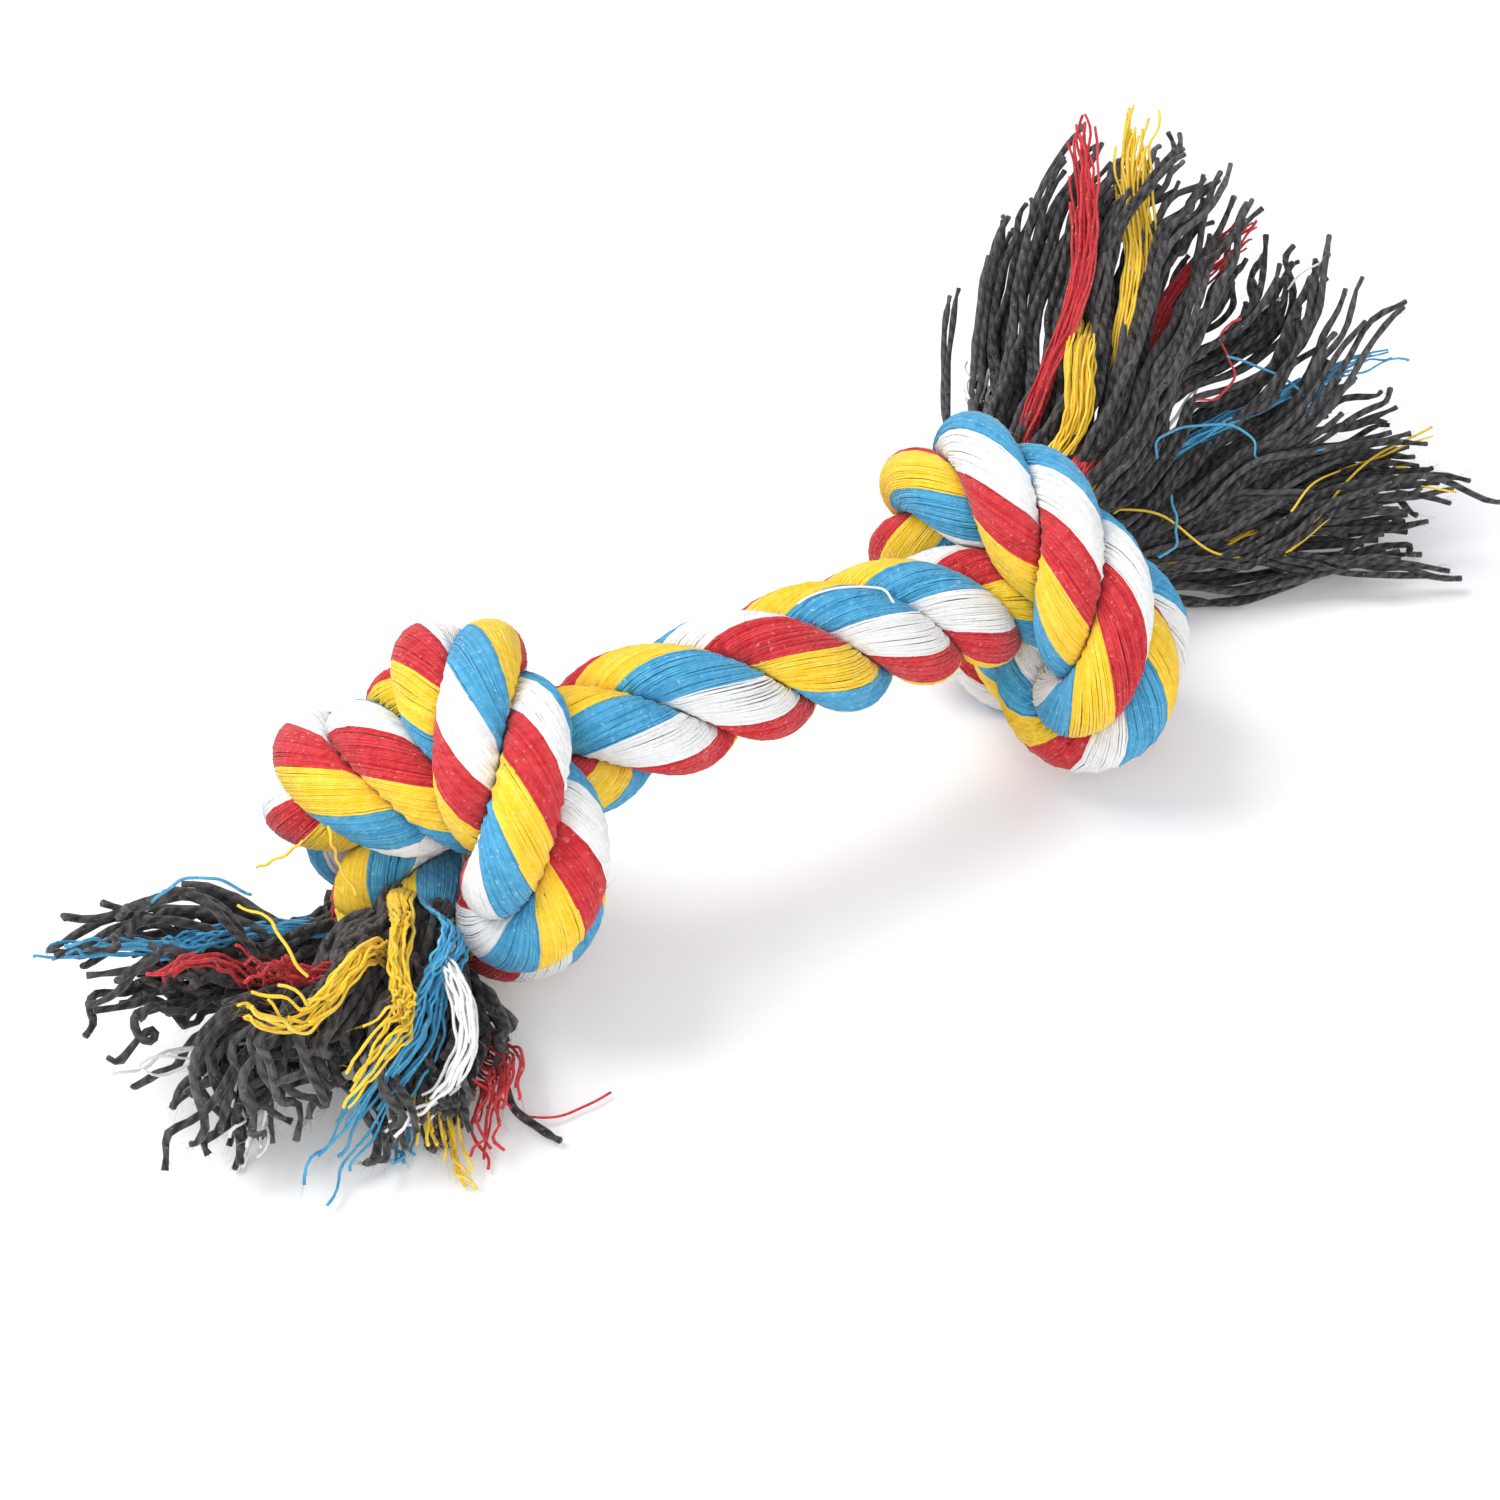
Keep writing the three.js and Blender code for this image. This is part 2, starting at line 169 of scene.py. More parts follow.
# One knot's rope line about its own middle: the hand-set half and its twin, drawn in beside the
# tassel, spun, flattened and turned as it lies, then bent aside a little where the rope leaves it.
def knotLine(knot):
    half = np.array(halfKnotShares) * [knot["lengthShare"], knot["widthShare"], knot["widthShare"]]
    half *= rope["diameter"]
    line = np.vstack([(half[1:] * [-1, 1, -1])[::-1], half])
    outward = smoothStep(2 * knot["side"] * line[:, :1] / rope["diameter"])
    line[:, 1:] *= 1 + (knot["pinchShare"] - 1) * outward
    line[0 if knot["side"] < 0 else -1, 0] = knot["side"] * knot["reach"]
    turn = turnMatrix("Z", knot["turn"]) @ turnMatrix("Y", knot["tilt"]) @ turnMatrix("X", knot["roll"])
    line = line @ (turn @ np.diag([1, *knot["flatShares"]]) @ turnMatrix("X", knot["spin"])).T
    for k, share in enumerate(bendShares):
        line[k] += share * np.array(knot["bends"][0])
        line[-1 - k] += share * np.array(knot["bends"][1])
    return line


# The rope between the knots: a cubic that leaves in one knot's last direction and arrives in the
# other's first, each pulled out by a share of the gap.
def middleLine(left, right):
    start, finish = left[-1], right[0]
    gap = np.linalg.norm(finish - start)
    leaving = unit(start - left[-2]) * rope["middlePull"] * gap
    entering = unit(right[1] - finish) * rope["middlePull"] * gap
    steps = max(2, round(gap / rope["middleStep"]))
    t = np.arange(1, steps)[:, None] / steps
    rise = smoothStep(t)
    return start * (1 - rise) + finish * rise + leaving * t * (1 - t)**2 - entering * t * t * (1 - t)


# Helices round the rope's line, one for each strand, with the angle each has turned: the length
# over the lay, plus the strand's share of a turn, plus the start.
def laidStrands(ropePoints):
    stations, strands = rope["stations"], rope["strands"]
    count = stations * rope["finePerStation"]
    fine = evenly(throughPoints(ropePoints, rope["curveSteps"]), count)
    fine = smoothedLine(fine, rope["smoothingRounds"])
    _, side, across = (part[0] for part in carriedFrames(fine[None]))
    at = np.round(np.arange(stations) * (count - 1) / (stations - 1)).astype(int)
    step = np.linalg.norm(fine[1] - fine[0])
    turns = at[None, :] * step / rope["lay"] + np.arange(strands)[:, None] / strands + rope["layStart"] / 360
    angle = 2 * np.pi * turns
    out = np.cos(angle)[..., None] * side[at] + np.sin(angle)[..., None] * across[at]
    return fine[at], fine[at] + rope["strandOffset"] * out, angle


# Pushes lines apart where they are nearer than the spacing, as packed cotton does: a point takes
# the mean of half of what each near point lacks, and the pushes are eased along the line. A line's
# own points count past skip stations, and the first held stations stay put.
def pressedApart(lines, spacing, skip, held=0, adjust=lambda now: now):
    count, stations, _ = lines.shape
    home = lines.reshape(-1, 3)
    strand, at = np.divmod(np.arange(count * stations), stations)
    meets = (strand[:, None] != strand[None]) | (np.abs(at[:, None] - at[None]) > skip)
    now = home.copy()
    kept = np.zeros(lines.shape)
    for _ in range(rope["pressingRounds"]):
        apart = now[:, None] - now[None]
        distance = np.linalg.norm(apart, axis=2) + tiny
        near = meets & (distance < spacing)
        weight = np.where(near, (spacing - distance) / distance / 2, 0)
        push = np.einsum("ij,ijk->ik", weight, apart) / np.maximum(near.sum(1), 1)[:, None]
        kept[:, held:] = rope["pressingKept"] * eased(kept + push.reshape(lines.shape))[:, held:]
        now = adjust(lines + kept).reshape(-1, 3)
    return now.reshape(lines.shape)


# Both knots are lowered until each lies a foot's depth into the ground.
def seatedStrands():
    left = knotLine(leftKnot) - [rope["knotSpacing"] / 2, 0, 0]
    right = knotLine(rightKnot) + [rope["knotSpacing"] / 2, 0, 0]
    for _ in range(rope["seatingRounds"]):
        middle, laid, angle = laidStrands(np.vstack([left, middleLine(left, right), right]))
        strands = pressedApart(laid, rope["pressedSpacing"], rope["pressingSkip"])
        rest = rope["strandRadius"] - rope["footDepth"]
        left[:, 2] += rest - strands[strands[..., 0] < 0][:, 2].min()
        right[:, 2] += rest - strands[strands[..., 0] >= 0][:, 2].min()
    return middle, strands, angle


surface = {
    "perStation": 5,           # fine stations to one station of a strand
    "directions": 36,          # round a strand
    "chunk": 60,               # stations worked out at a time
    "nearRadii": 2.6,          # lines further apart than this many radii don't meet
    "sampleStep": 3,           # a neighbour is looked at every so many fine stations
}
ringAngles = np.linspace(0, 2 * np.pi, surface["directions"], endpoint=False)


# How far each strand reaches from its axis in every direction: its own radius, or the plane half way
# to any other line, or the ground. A point is |v|^2 / (2 u.v) from the plane that halves v along u.
def strandReach(lines, outward):
    along, _, _ = carriedFrames(lines)
    e = unit(outward - along * (outward * along).sum(2, keepdims=True))
    b = np.cross(along, e)
    ray = ringRays(ringAngles, e, b)
    stations = lines.shape[1]
    step = np.linalg.norm(lines[0, 1] - lines[0, 0])
    reach = np.full(ray.shape[:3], rope["strandRadius"])
    sample = np.arange(0, stations, surface["sampleStep"])
    for own in range(rope["strands"]):
        for start in range(0, stations, surface["chunk"]):
            rows = np.arange(start, min(start + surface["chunk"], stations))
            for other in range(rope["strands"]):
                v = lines[other, sample][None] - lines[own, rows][:, None]
                squared = (v**2).sum(2)
                near = squared < (surface["nearRadii"] * rope["strandRadius"])**2
                if own == other:
                    near &= np.abs(sample[None] - rows[:, None]) * step > rope["diameter"]
                used = np.where(near.any(0))[0]
                if not len(used):
                    continue
                facing = np.einsum("iqk,idk->iqd", v[:, used], ray[own, rows])
                plane = squared[:, used, None] / (2 * np.maximum(facing, tiny))
                plane = np.where((facing > 0) & near[:, used, None], plane, farAway)
                reach[own, rows] = np.minimum(reach[own, rows], plane.min(1) - rope["gap"] / 2)
    down = -ray[..., 2]
    ground = np.where(down > 0, lines[:, :, None, 2] / np.maximum(down, tiny), farAway)
    return np.minimum(reach, ground), e, b


# The reach at any angle: a straight mix of the two directions beside it.
def reachAt(reach, psi):
    directions = reach.shape[-1]
    place = np.mod(psi / (2 * np.pi), 1) * directions
    low = np.floor(place).astype(int) % directions
    share = place - np.floor(place)
    rows = np.arange(reach.shape[0])
    return reach[rows, low] * (1 - share) + reach[rows, (low + 1) % directions] * share


# Puts a mesh into the scene as one piece, with its material and in the place of the solids it stands for.
def finished(mesh, name, material, nodes):
    mesh.materials.append(material)
    piece = bpy.data.objects.new(name, mesh)
    bpy.context.scene.collection.objects.link(piece)
    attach(piece, "root")
    if nodes:
        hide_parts(*nodes)


# Faces of a tube whose corners are numbered ring by ring: a quad from each corner and the next to the
# ring after, then a fan of triangles at each end round a middle point, both numbered last.
def tubeFaces(stations, sides):
    i, j = np.meshgrid(np.arange(stations - 1), np.arange(sides), indexing="ij")
    k = (j + 1) % sides
    quads = np.stack([i * sides + j, i * sides + k, (i + 1) * sides + k, (i + 1) * sides + j], -1)
    j = np.arange(sides)
    k = (j + 1) % sides
    first, last = stations * sides, (stations - 1) * sides
    caps = np.concatenate([
        np.stack([np.full(sides, first), k, j], 1),
        np.stack([np.full(sides, first + 1), last + j, last + k], 1),
    ])
    return quads.reshape(-1, 4), caps


# The UV map of many tubes, in the order of their faces' corners: it runs once round each tube and
# counts its length in millimetres.
def tubeMap(paths, sides):
    count, stations, _ = paths.shape
    steps = np.linalg.norm(np.diff(paths, axis=1), axis=2) * 1000
    length = np.concatenate([np.zeros((count, 1)), np.cumsum(steps, 1)], 1)
    i, j = np.meshgrid(np.arange(stations - 1), np.arange(sides), indexing="ij")
    i, j = i.ravel(), j.ravel()
    quadU = np.tile(np.stack([j, j + 1, j + 1, j], 1)[None] / sides, (count, 1, 1))
    quadV = np.stack([length[:, i], length[:, i], length[:, i + 1], length[:, i + 1]], -1)
    j = np.arange(sides)
    around = np.stack([j + 0.5, j + 1, j], 1) / sides
    capU = np.tile(np.concatenate([around, around[:, [0, 2, 1]]])[None], (count, 1, 1))
    finish = np.broadcast_to(length[:, -1:, None], (count, sides, 3))
    capV = np.concatenate([np.zeros((count, sides, 3)), finish], 1)
    u = np.concatenate([quadU.reshape(count, -1), capU.reshape(count, -1)], 1)
    v = np.concatenate([quadV.reshape(count, -1), capV.reshape(count, -1)], 1)
    return np.stack([u.ravel(), v.ravel()], 1)


# Many tubes of one colour in one mesh: a ring of corners round every station of every path, closed
# by a point at each end. Each tube has a random tone of its own.
def tubes(name, paths, radius, sides, colour, nodes=()):
    count, stations, _ = paths.shape
    radius = np.broadcast_to(radius, (count, stations))
    _, side, across = carriedFrames(paths)
    ring = ringRays(2 * np.pi * np.arange(sides) / sides, side, across)
    corners = (paths[:, :, None] + ring * radius[..., None, None]).reshape(count, -1, 3)
    verts = np.concatenate([corners, paths[:, :1], paths[:, -1:]], 1)
    quads, caps = tubeFaces(stations, sides)
    perTube = verts.shape[1]
    offset = perTube * np.arange(count)[:, None, None]
    loops = [(faces + offset).reshape(count, -1) for faces in (quads, caps)]
    loops = np.concatenate(loops, 1).ravel().astype(np.int32)
    sizes = np.tile(np.concatenate([np.full(len(quads), 4), np.full(len(caps), 3)]), count)
    starts = np.concatenate([[0], np.cumsum(sizes)[:-1]]).astype(np.int32)
    mesh = bpy.data.meshes.new(name)
    mesh.vertices.add(count * perTube)
    mesh.vertices.foreach_set("co", verts.ravel())
    mesh.loops.add(len(loops))
    mesh.loops.foreach_set("vertex_index", loops)
    mesh.polygons.add(len(sizes))
    mesh.polygons.foreach_set("loop_start", starts)
    mesh.uv_layers.new(name="yarn").data.foreach_set("uv", tubeMap(paths, sides).ravel())
    tones = mesh.attributes.new("yarnTone", "FLOAT", "POINT")
    tones.data.foreach_set("value", np.repeat(random.random(count), perTube))
    mesh.polygons.foreach_set("use_smooth", np.ones(len(sizes), bool))
    mesh.update(calc_edges=True)
    mesh.validate()
    finished(mesh, name, materials[colour], nodes)


cotton = {
    "blue": {
        "slot": "blue_cotton", "fleck": (0.5, 0.7, 0.8),
        "colour": (0.038, 0.27, 0.49), "light": (0.11, 0.42, 0.65),
    },
    "white": {
        "slot": "white_cotton", "fleck": (0.6, 0.58, 0.55),
        "colour": (0.76, 0.76, 0.745), "light": (0.87, 0.87, 0.86),
    },
    "red": {
        "slot": "red_cotton", "fleck": (0.78, 0.4, 0.4),
        "colour": (0.48, 0.015, 0.025), "light": (0.67, 0.06, 0.065),
    },
    "yellow": {
        "slot": "yellow_cotton", "fleck": (0.9, 0.75, 0.4),
        "colour": (0.83, 0.52, 0.015), "light": (0.93, 0.67, 0.08),
    },
    "dark": {
        "slot": "dark_cotton", "fleck": (0.25, 0.22, 0.2),
        "colour": (0.02, 0.0195, 0.0205), "light": (0.105, 0.1, 0.1),
    },
}
plies = {                      # the pitch is the millimetres for one turn of a ply
    # the ply shade is painted shade: how much the colour darkens in the grooves between plies
    "dark": {"pitch": 2.4, "plyShade": 0.16, "relief": 0.00016, "flecks": 0.55},
    "fine": {"pitch": 1.3, "plyShade": 0.08, "relief": 0.00005, "flecks": 0.45},
}
grain = {                      # noise scales are per metre
    "roughness": 0.95, "specular": 0.15, "sheen": 0.2, "sheenRoughness": 0.45,
    "slubScale": 700, "slubDetail": 4, "toneShare": 0.4, "darkUpTo": 0.4, "lightFrom": 1.0,
    "fleckScale": 1700, "fleckDetail": 1, "fleckFrom": 0.66, "fleckTo": 0.74,
    "fibreScale": 3500, "fibreDetail": 2, "plyHeight": 0.35, "bumpStrength": 0.8,
}
core = {
    # the shadow colour is painted shade for the gaps between the yarns
    "roughness": 1.0, "shadow": (0.02, 0.02, 0.021, 1),
    "patchScale": 260, "patchDetail": 2, "patchFrom": 0.4, "patchTo": 0.62, "darkest": 0.12, "lightest": 0.7,
}


# The rope has two kinds of yarn: the thick dark one of its core and the fine coloured one round it.
def kindOf(colour):
    return "dark" if colour == "dark" else "fine"


# A shader node with some of its sockets set or fed by other nodes' outputs. Sockets that share a name
# are given by their number.
def addNode(tree, kind, inputs=(), **settings):
    node = tree.nodes.new("ShaderNode" + kind)
    for name, value in settings.items():
        setattr(node, name, value)
    for socket, value in dict(inputs).items():
        if isinstance(value, bpy.types.NodeSocket):
            tree.links.new(value, node.inputs[socket])
        else:
            node.inputs[socket].default_value = value
    return node.outputs[0]


# A new matt material with a little sheen, and where its own place on the object is read.
def cottonShader(name, roughness):
    material = bpy.data.materials.new(name)
    material.use_nodes = True
    tree = material.node_tree
    shader = tree.nodes["Principled BSDF"]
    shader.inputs["Roughness"].default_value = roughness
    shader.inputs["Specular IOR Level"].default_value = grain["specular"]
    shader.inputs["Sheen Weight"].default_value = grain["sheen"]
    shader.inputs["Sheen Roughness"].default_value = grain["sheenRoughness"]
    return material, tree, shader, tree.nodes.new("ShaderNodeTexCoord").outputs["Object"]


# Matt cotton yarn. Two plies wind round each yarn: their height is the sine of twice the turn round
# it plus its length over the pitch. The colour carries painted shade: lighter on a ply's crest and
# darker in the groove between plies. It also differs from yarn to yarn and along them, and is dotted
# with pale flecks. The plies and a fine fibre noise stand out as bump.
def cottonMaterial(name, look, twist):
    material, tree, shader, place = cottonShader(name, grain["roughness"])

    def noise(kind):
        scale, detail = grain[kind + "Scale"], grain[kind + "Detail"]
        return addNode(tree, "TexNoise", {"Vector": place, "Scale": scale, "Detail": detail})

    def multiplied(value, factor, added):
        return addNode(tree, "Math", {0: value, 1: factor, 2: added}, operation="MULTIPLY_ADD")

    uv = addNode(tree, "UVMap", uv_map="yarn")
    split = addNode(tree, "SeparateXYZ", {0: uv}).node.outputs
    along = addNode(tree, "Math", {0: split["Y"], 1: 2 * math.pi / twist["pitch"]}, operation="MULTIPLY")
    ply = addNode(tree, "Math", {0: multiplied(split["X"], 4 * math.pi, along)}, operation="SINE")
    tone = addNode(tree, "Attribute", attribute_name="yarnTone").node.outputs["Fac"]
    # painted shade: the ply wave lightens the colour on the crests and darkens it in the grooves
    mixed = multiplied(ply, twist["plyShade"], multiplied(tone, grain["toneShare"], noise("slub")))
    colours = addNode(tree, "ValToRGB", {0: mixed}).node
    ends = colours.color_ramp.elements
    ends[0].position, ends[1].position = grain["darkUpTo"], grain["lightFrom"]
    ends[0].color, ends[1].color = (*look["colour"], 1), (*look["light"], 1)
    limits = {1: grain["fleckFrom"], 2: grain["fleckTo"], 3: 0.0, 4: twist["flecks"]}
    share = addNode(tree, "MapRange", {0: noise("fleck"), **limits})
    pale = {0: share, 6: colours.outputs[0], 7: (*look["fleck"], 1)}
    tree.links.new(addNode(tree, "Mix", pale, data_type="RGBA").node.outputs[2], shader.inputs["Base Color"])
    height = multiplied(ply, grain["plyHeight"], noise("fibre"))
    relief = {"Height": height, "Strength": grain["bumpStrength"], "Distance": twist["relief"]}
    tree.links.new(addNode(tree, "Bump", relief), shader.inputs["Normal"])
    return material


# The strands' inner surface between the yarns: the colour of the band over it, mixed by a patchy noise
# with a painted shadow colour that stands for the shade between the yarns.
def coreMaterial():
    material, tree, shader, place = cottonShader("coreCotton", core["roughness"])
    band = addNode(tree, "Attribute", attribute_name="bandColour")
    looks = {"Vector": place, "Scale": core["patchScale"], "Detail": core["patchDetail"]}
    limits = {1: core["patchFrom"], 2: core["patchTo"], 3: core["darkest"], 4: core["lightest"]}
    shade = addNode(tree, "MapRange", {0: addNode(tree, "TexNoise", looks), **limits})
    # painted shade: the band colour is mixed towards the shadow colour
    dark = addNode(tree, "Mix", {0: shade, 6: core["shadow"], 7: band}, data_type="RGBA").node
    tree.links.new(dark.outputs[2], shader.inputs["Base Color"])
    return material


materials = {
    colour: cottonMaterial(colour + "Cotton", look, plies[kindOf(colour)]) for colour, look in cotton.items()
}
materials["core"] = coreMaterial()

yarn = {
    "perBand": 24,
    "radius": 0.000185,
    "sides": 4,
    "stations": 380,
    "twist": 2.075,                    # turns of the yarns round a strand in one lay, against it
    "bandPhases": (-130, 37, -148),    # degrees the bands of each strand start turned by
    "bandOrder": ("blue", "white", "red", "yellow"),
    "knotTurns": (                     # how much further the bands have turned, at stations of the rope
        (
            (3, -277), (16, -180), (19, -165), (21, -80), (23, -35), (35, -105), (47, -178), (60, 0),
            (101, 0), (112, -90), (115, -40), (124.5, -155), (128.5, -30),
        ),
        (
            (16.5, -160), (19.5, -60), (31, -90), (43.5, -124), (60, 0), (101, 0), (109.5, -100),
            (120, -150),
        ),
        (
            (13.5, -204), (21, -150), (23, -125), (24.5, -62), (36, -125), (49.8, -178), (60, 0),
            (101, 0), (115, -40), (118, 8),
        ),
    ),
    "turnEasing": 60,                  # rounds
    "wander": 0.32,                    # how far a yarn strays sideways, in yarn spacings
    "wanderCycles": 40,
    "lift": 0.00005,                   # how far it strays in and out
    "liftCycles": 60,
    "sink": 0.00008,                   # how far the core lies under the yarns' middle lines
}
bandCount = len(yarn["bandOrder"])
waveScale = 1.8                        # brings the sum of three sines to about one


# Slow random waves along a line, one row per yarn, between about -1 and 1: three sines added up,
# each at a rate of its own up to the given cycles.
def waves(count, stations, cycles):
    t = np.linspace(0, 1, stations)[None, None]
    rates = random.uniform(0.5, 1, (count, 3, 1)) * cycles
    starts = random.uniform(0, 2 * np.pi, (count, 3, 1))
    return np.sin(2 * np.pi * rates * t + starts).sum(1) / waveScale


# The same waves along X, Y and Z.
def wavesInSpace(count, stations, cycles):
    return np.stack([waves(count, stations, cycles) for _ in range(3)], -1)


# How far the bands have turned at each fine station: in step with the strand's own turns round the
# rope, with a slow extra turn where the knots pull them round.
def bandTurn(angle, strand):
    stations, turns = np.array(yarn["knotTurns"][strand]).T
    extra = np.interp(np.arange(len(angle)) / surface["perStation"], stations, turns)
    extra = smoothedLine(extra[:, None], yarn["turnEasing"])[:, 0]
    return yarn["twist"] * angle + np.radians(yarn["bandPhases"][strand] + extra)


# The paths of one colour's yarns on one strand: each keeps its own angle in the band while the
# whole band winds back round the strand as the strand winds round the rope.
def bandPaths(line, e, b, reach, angle, strand, band):
    perBand, stations = yarn["perBand"], yarn["stations"]
    at = np.round(np.linspace(0, len(line) - 1, stations)).astype(int)
    spacing = 2 * np.pi / (bandCount * perBand)
    own = (band * perBand + np.arange(perBand) + 0.5) * spacing
    own = own[:, None] + spacing * yarn["wander"] * waves(perBand, stations, yarn["wanderCycles"])
    psi = own - bandTurn(angle, strand)[at]
    out = np.stack([reachAt(reach[at], row) for row in psi])
    out += yarn["lift"] * waves(perBand, stations, yarn["liftCycles"]) - yarn["radius"]
    ray = np.cos(psi)[..., None] * e[at] + np.sin(psi)[..., None] * b[at]
    paths = line[at] + ray * out[..., None]
    paths[..., 2] = np.maximum(paths[..., 2], yarn["radius"])
    return paths


# What shows between the yarns: the strand's own surface drawn in a little, with the colours of the
# bands that lie on it, which its material darkens with painted shade. A corner reaches no further than
# its neighbours do, so it stays under the yarns.
def corePiece(name, line, e, b, reach, turned, nodes):
    at = np.round(np.linspace(0, len(line) - 1, yarn["stations"])).astype(int)
    low = np.minimum.reduce([np.roll(reach, step, 1) for step in (-1, 0, 1)])
    beside = [np.clip(np.arange(len(line)) + step, 0, len(line) - 1) for step in (-2, -1, 0, 1, 2)]
    low = np.minimum.reduce([low[rows] for rows in beside])
    ray = ringRays(ringAngles, e[at], b[at])
    rings = line[at][:, None] + ray * (low[at] - yarn["radius"] - yarn["sink"])[..., None]
    rings[..., 2] = np.maximum(rings[..., 2], yarn["radius"])
    verts = np.vstack([rings.reshape(-1, 3), line[at[:1]], line[at[-1:]]])
    quads, caps = tubeFaces(*rings.shape[:2])
    mesh = bpy.data.meshes.new(name)
    mesh.from_pydata(verts, [], quads.tolist() + caps.tolist())
    quarter = 2 * np.pi / bandCount
    band = np.floor((ringAngles[None] + turned[at, None]) / quarter).astype(int) % bandCount
    bandColours = np.array([[*cotton[colour]["colour"], 1] for colour in yarn["bandOrder"]])
    colours = np.vstack([bandColours[band].reshape(-1, 4), bandColours[[0, 0]]])
    data = mesh.attributes.new("bandColour", "FLOAT_COLOR", "POINT")
    data.data.foreach_set("color", colours.ravel())
    mesh.polygons.foreach_set("use_smooth", np.ones(len(mesh.polygons), bool))
    finished(mesh, name, materials["core"], nodes)


fuzz = {
    "length": 0.0016, "lengthShares": (0.4, 1.3), "radius": 0.000022, "thinning": 0.6,
    "sides": 3, "stations": 4, "perColour": 1500,
    "alongTip": 1.5,           # how much a fibre at a cut tip keeps the yarn's direction
    "alongYarn": 0.5,          # how far a fibre bends back along the yarn, in its own lengths
    "curl": 0.4,
}


# Loose fibres on some yarns: each starts at a random place on one of the paths and leaves it along a
# random direction, bending along the yarn and aside by the square of the way it has gone. Those at
# the cut tips fray out of them.
def fuzzPiece(name, paths, colour, share=1, atTips=0):
    count = int(fuzz["perColour"] * share)
    path = random.integers(0, len(paths), count)
    frayed = random.random(count) < atTips
    at = np.where(frayed, paths.shape[1] - 2, random.integers(1, paths.shape[1] - 1, count))
    start = paths[path, at][:, None]
    along = unit(paths[path, at + 1] - paths[path, at - 1])
    out = unit(random.normal(size=(count, 3)) + fuzz["alongTip"] * frayed[:, None] * along)
    curl = unit(random.normal(size=(count, 3)))
    t = np.linspace(0, 1, fuzz["stations"])[None, :, None]
    length = fuzz["length"] * random.uniform(*fuzz["lengthShares"], (count, 1, 1))
    bent = t * out[:, None] + fuzz["alongYarn"] * t**2 * along[:, None]
    lines = start + length * (bent + fuzz["curl"] * t**2 * curl[:, None])
    lines[..., 2] = np.maximum(lines[..., 2], fuzz["radius"])
    radius = fuzz["radius"] * (1 - fuzz["thinning"] * t[..., 0])
    tubes(name, lines, radius, fuzz["sides"], colour)


print("strands: route and surfaces")
middle, strandLines, strandAngles = seatedStrands()
fineLines = np.stack([throughPoints(line, surface["perStation"]) for line in strandLines])
fineMiddle = throughPoints(middle, surface["perStation"])
fineStations = fineLines.shape[1]
fineAngles = np.stack([
    np.interp(np.linspace(0, 1, fineStations), np.linspace(0, 1, len(a)), a) for a in strandAngles
])
reach, outAxis, crossAxis = strandReach(fineLines, fineLines - fineMiddle)

# the solids' frame has its origin under the middle of the whole toy, so the strands slide to theirs
skin = fineLines[:, :, None] + ringRays(ringAngles, outAxis, crossAxis) * reach[..., None]
skinLow, skinHigh = skin.min((0, 1, 2)), skin.max((0, 1, 2))
boxes = np.array([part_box("strand_%d" % (k + 1)) for k in range(rope["strands"])])
cadLow, cadHigh = boxes[:, 0].min(0), boxes[:, 1].max(0)
slide = (cadLow + cadHigh) / 2 - (skinLow + skinHigh) / 2
shift = np.array([*slide[:2], 0.0])
fineLines += shift
print("strand skin", skinLow + shift, skinHigh + shift, "solids", cadLow, cadHigh)

bandEnds = {}
bandYarns = {colour: [] for colour in yarn["bandOrder"]}
for strand in range(rope["strands"]):
    node = "strand_%d" % (strand + 1)
    shape = (fineLines[strand], outAxis[strand], crossAxis[strand], reach[strand])
    corePiece(node + "_core", *shape, bandTurn(fineAngles[strand], strand), [node])
    for band, colour in enumerate(yarn["bandOrder"]):
        paths = bandPaths(*shape, fineAngles[strand], strand, band)
        bandEnds[strand, colour] = paths
        bandYarns[colour].append(paths)
        tubes("%s_%s_yarns" % (node, colour), paths, yarn["radius"], yarn["sides"], colour, [node])
    print("strand", strand + 1, "wound")
for colour, paths in bandYarns.items():
    fuzzPiece("rope_%s_fuzz" % colour, np.concatenate(paths), colour)


# The two tassels. Each tuft's tip is given from the rope's end as shares of the tassel's length. A
# fourth number is the share of the way out at which most of that tuft's yarns are cut. The spread
# is a tuft's radius near its root and at its tip. The shortest yarn ends at the shortest share of that
# way, the arch is how high a colour rises about half way out, and a bow moves a tuft's middle aside.
leftTassel = {
    "name": "left", "length": 0.048, "station": 0, "inner": 1,
    "spread": {"dark": (0.0026, 0.008), "fine": (0.003, 0.0042)},
    "shortest": 0.42, "crimp": 1.35,
    "arch": {"dark": 0.003, "blue": 0.004, "white": 0.004, "red": -0.002, "yellow": 0.006},
    "bows": {
        "yellow_2": (0.002, -0.0055, 0.0035), "yellow_3": (0.004, -0.0075, 0.003),
        "blue_2": (0.008, -0.0065, 0.002), "white_1": (0.0095, -0.0065, -0.001),
        "dark_9": (0.004, -0.003, -0.007),
    },
    "tips": {
        "dark": [
            [-0.95, 0, 0.3], [-1, -0.05, 0.05], [-0.85, -0.3, -0.05], [-0.75, -0.4, -0.1],
            [-0.55, -0.6, -0.05], [-0.3, -0.65, -0.1], [-0.25, -0.75, -0.25], [0.05, -0.9, -0.25, 0.6],
            [-0.6, 0.3, 0.1],
        ],
        "blue": [[-0.95, 0.1, 0.25], [-0.55, -0.6, -0.25], [-0.35, -0.65, -0.25]],
        "white": [[-0.9, -0.25, -0.05], [-0.7, -0.5, -0.15], [-0.4, -0.65, -0.1]],
        "red": [[-0.65, -0.3, 0.3, 0.8], [-0.1, -0.75, -0.2], [-0.8, -0.15, 0.3]],
        "yellow": [[-0.7, -0.4, 0.3], [-0.5, -0.6, 0.05], [-0.35, -0.75, -0.25]],
    },
}
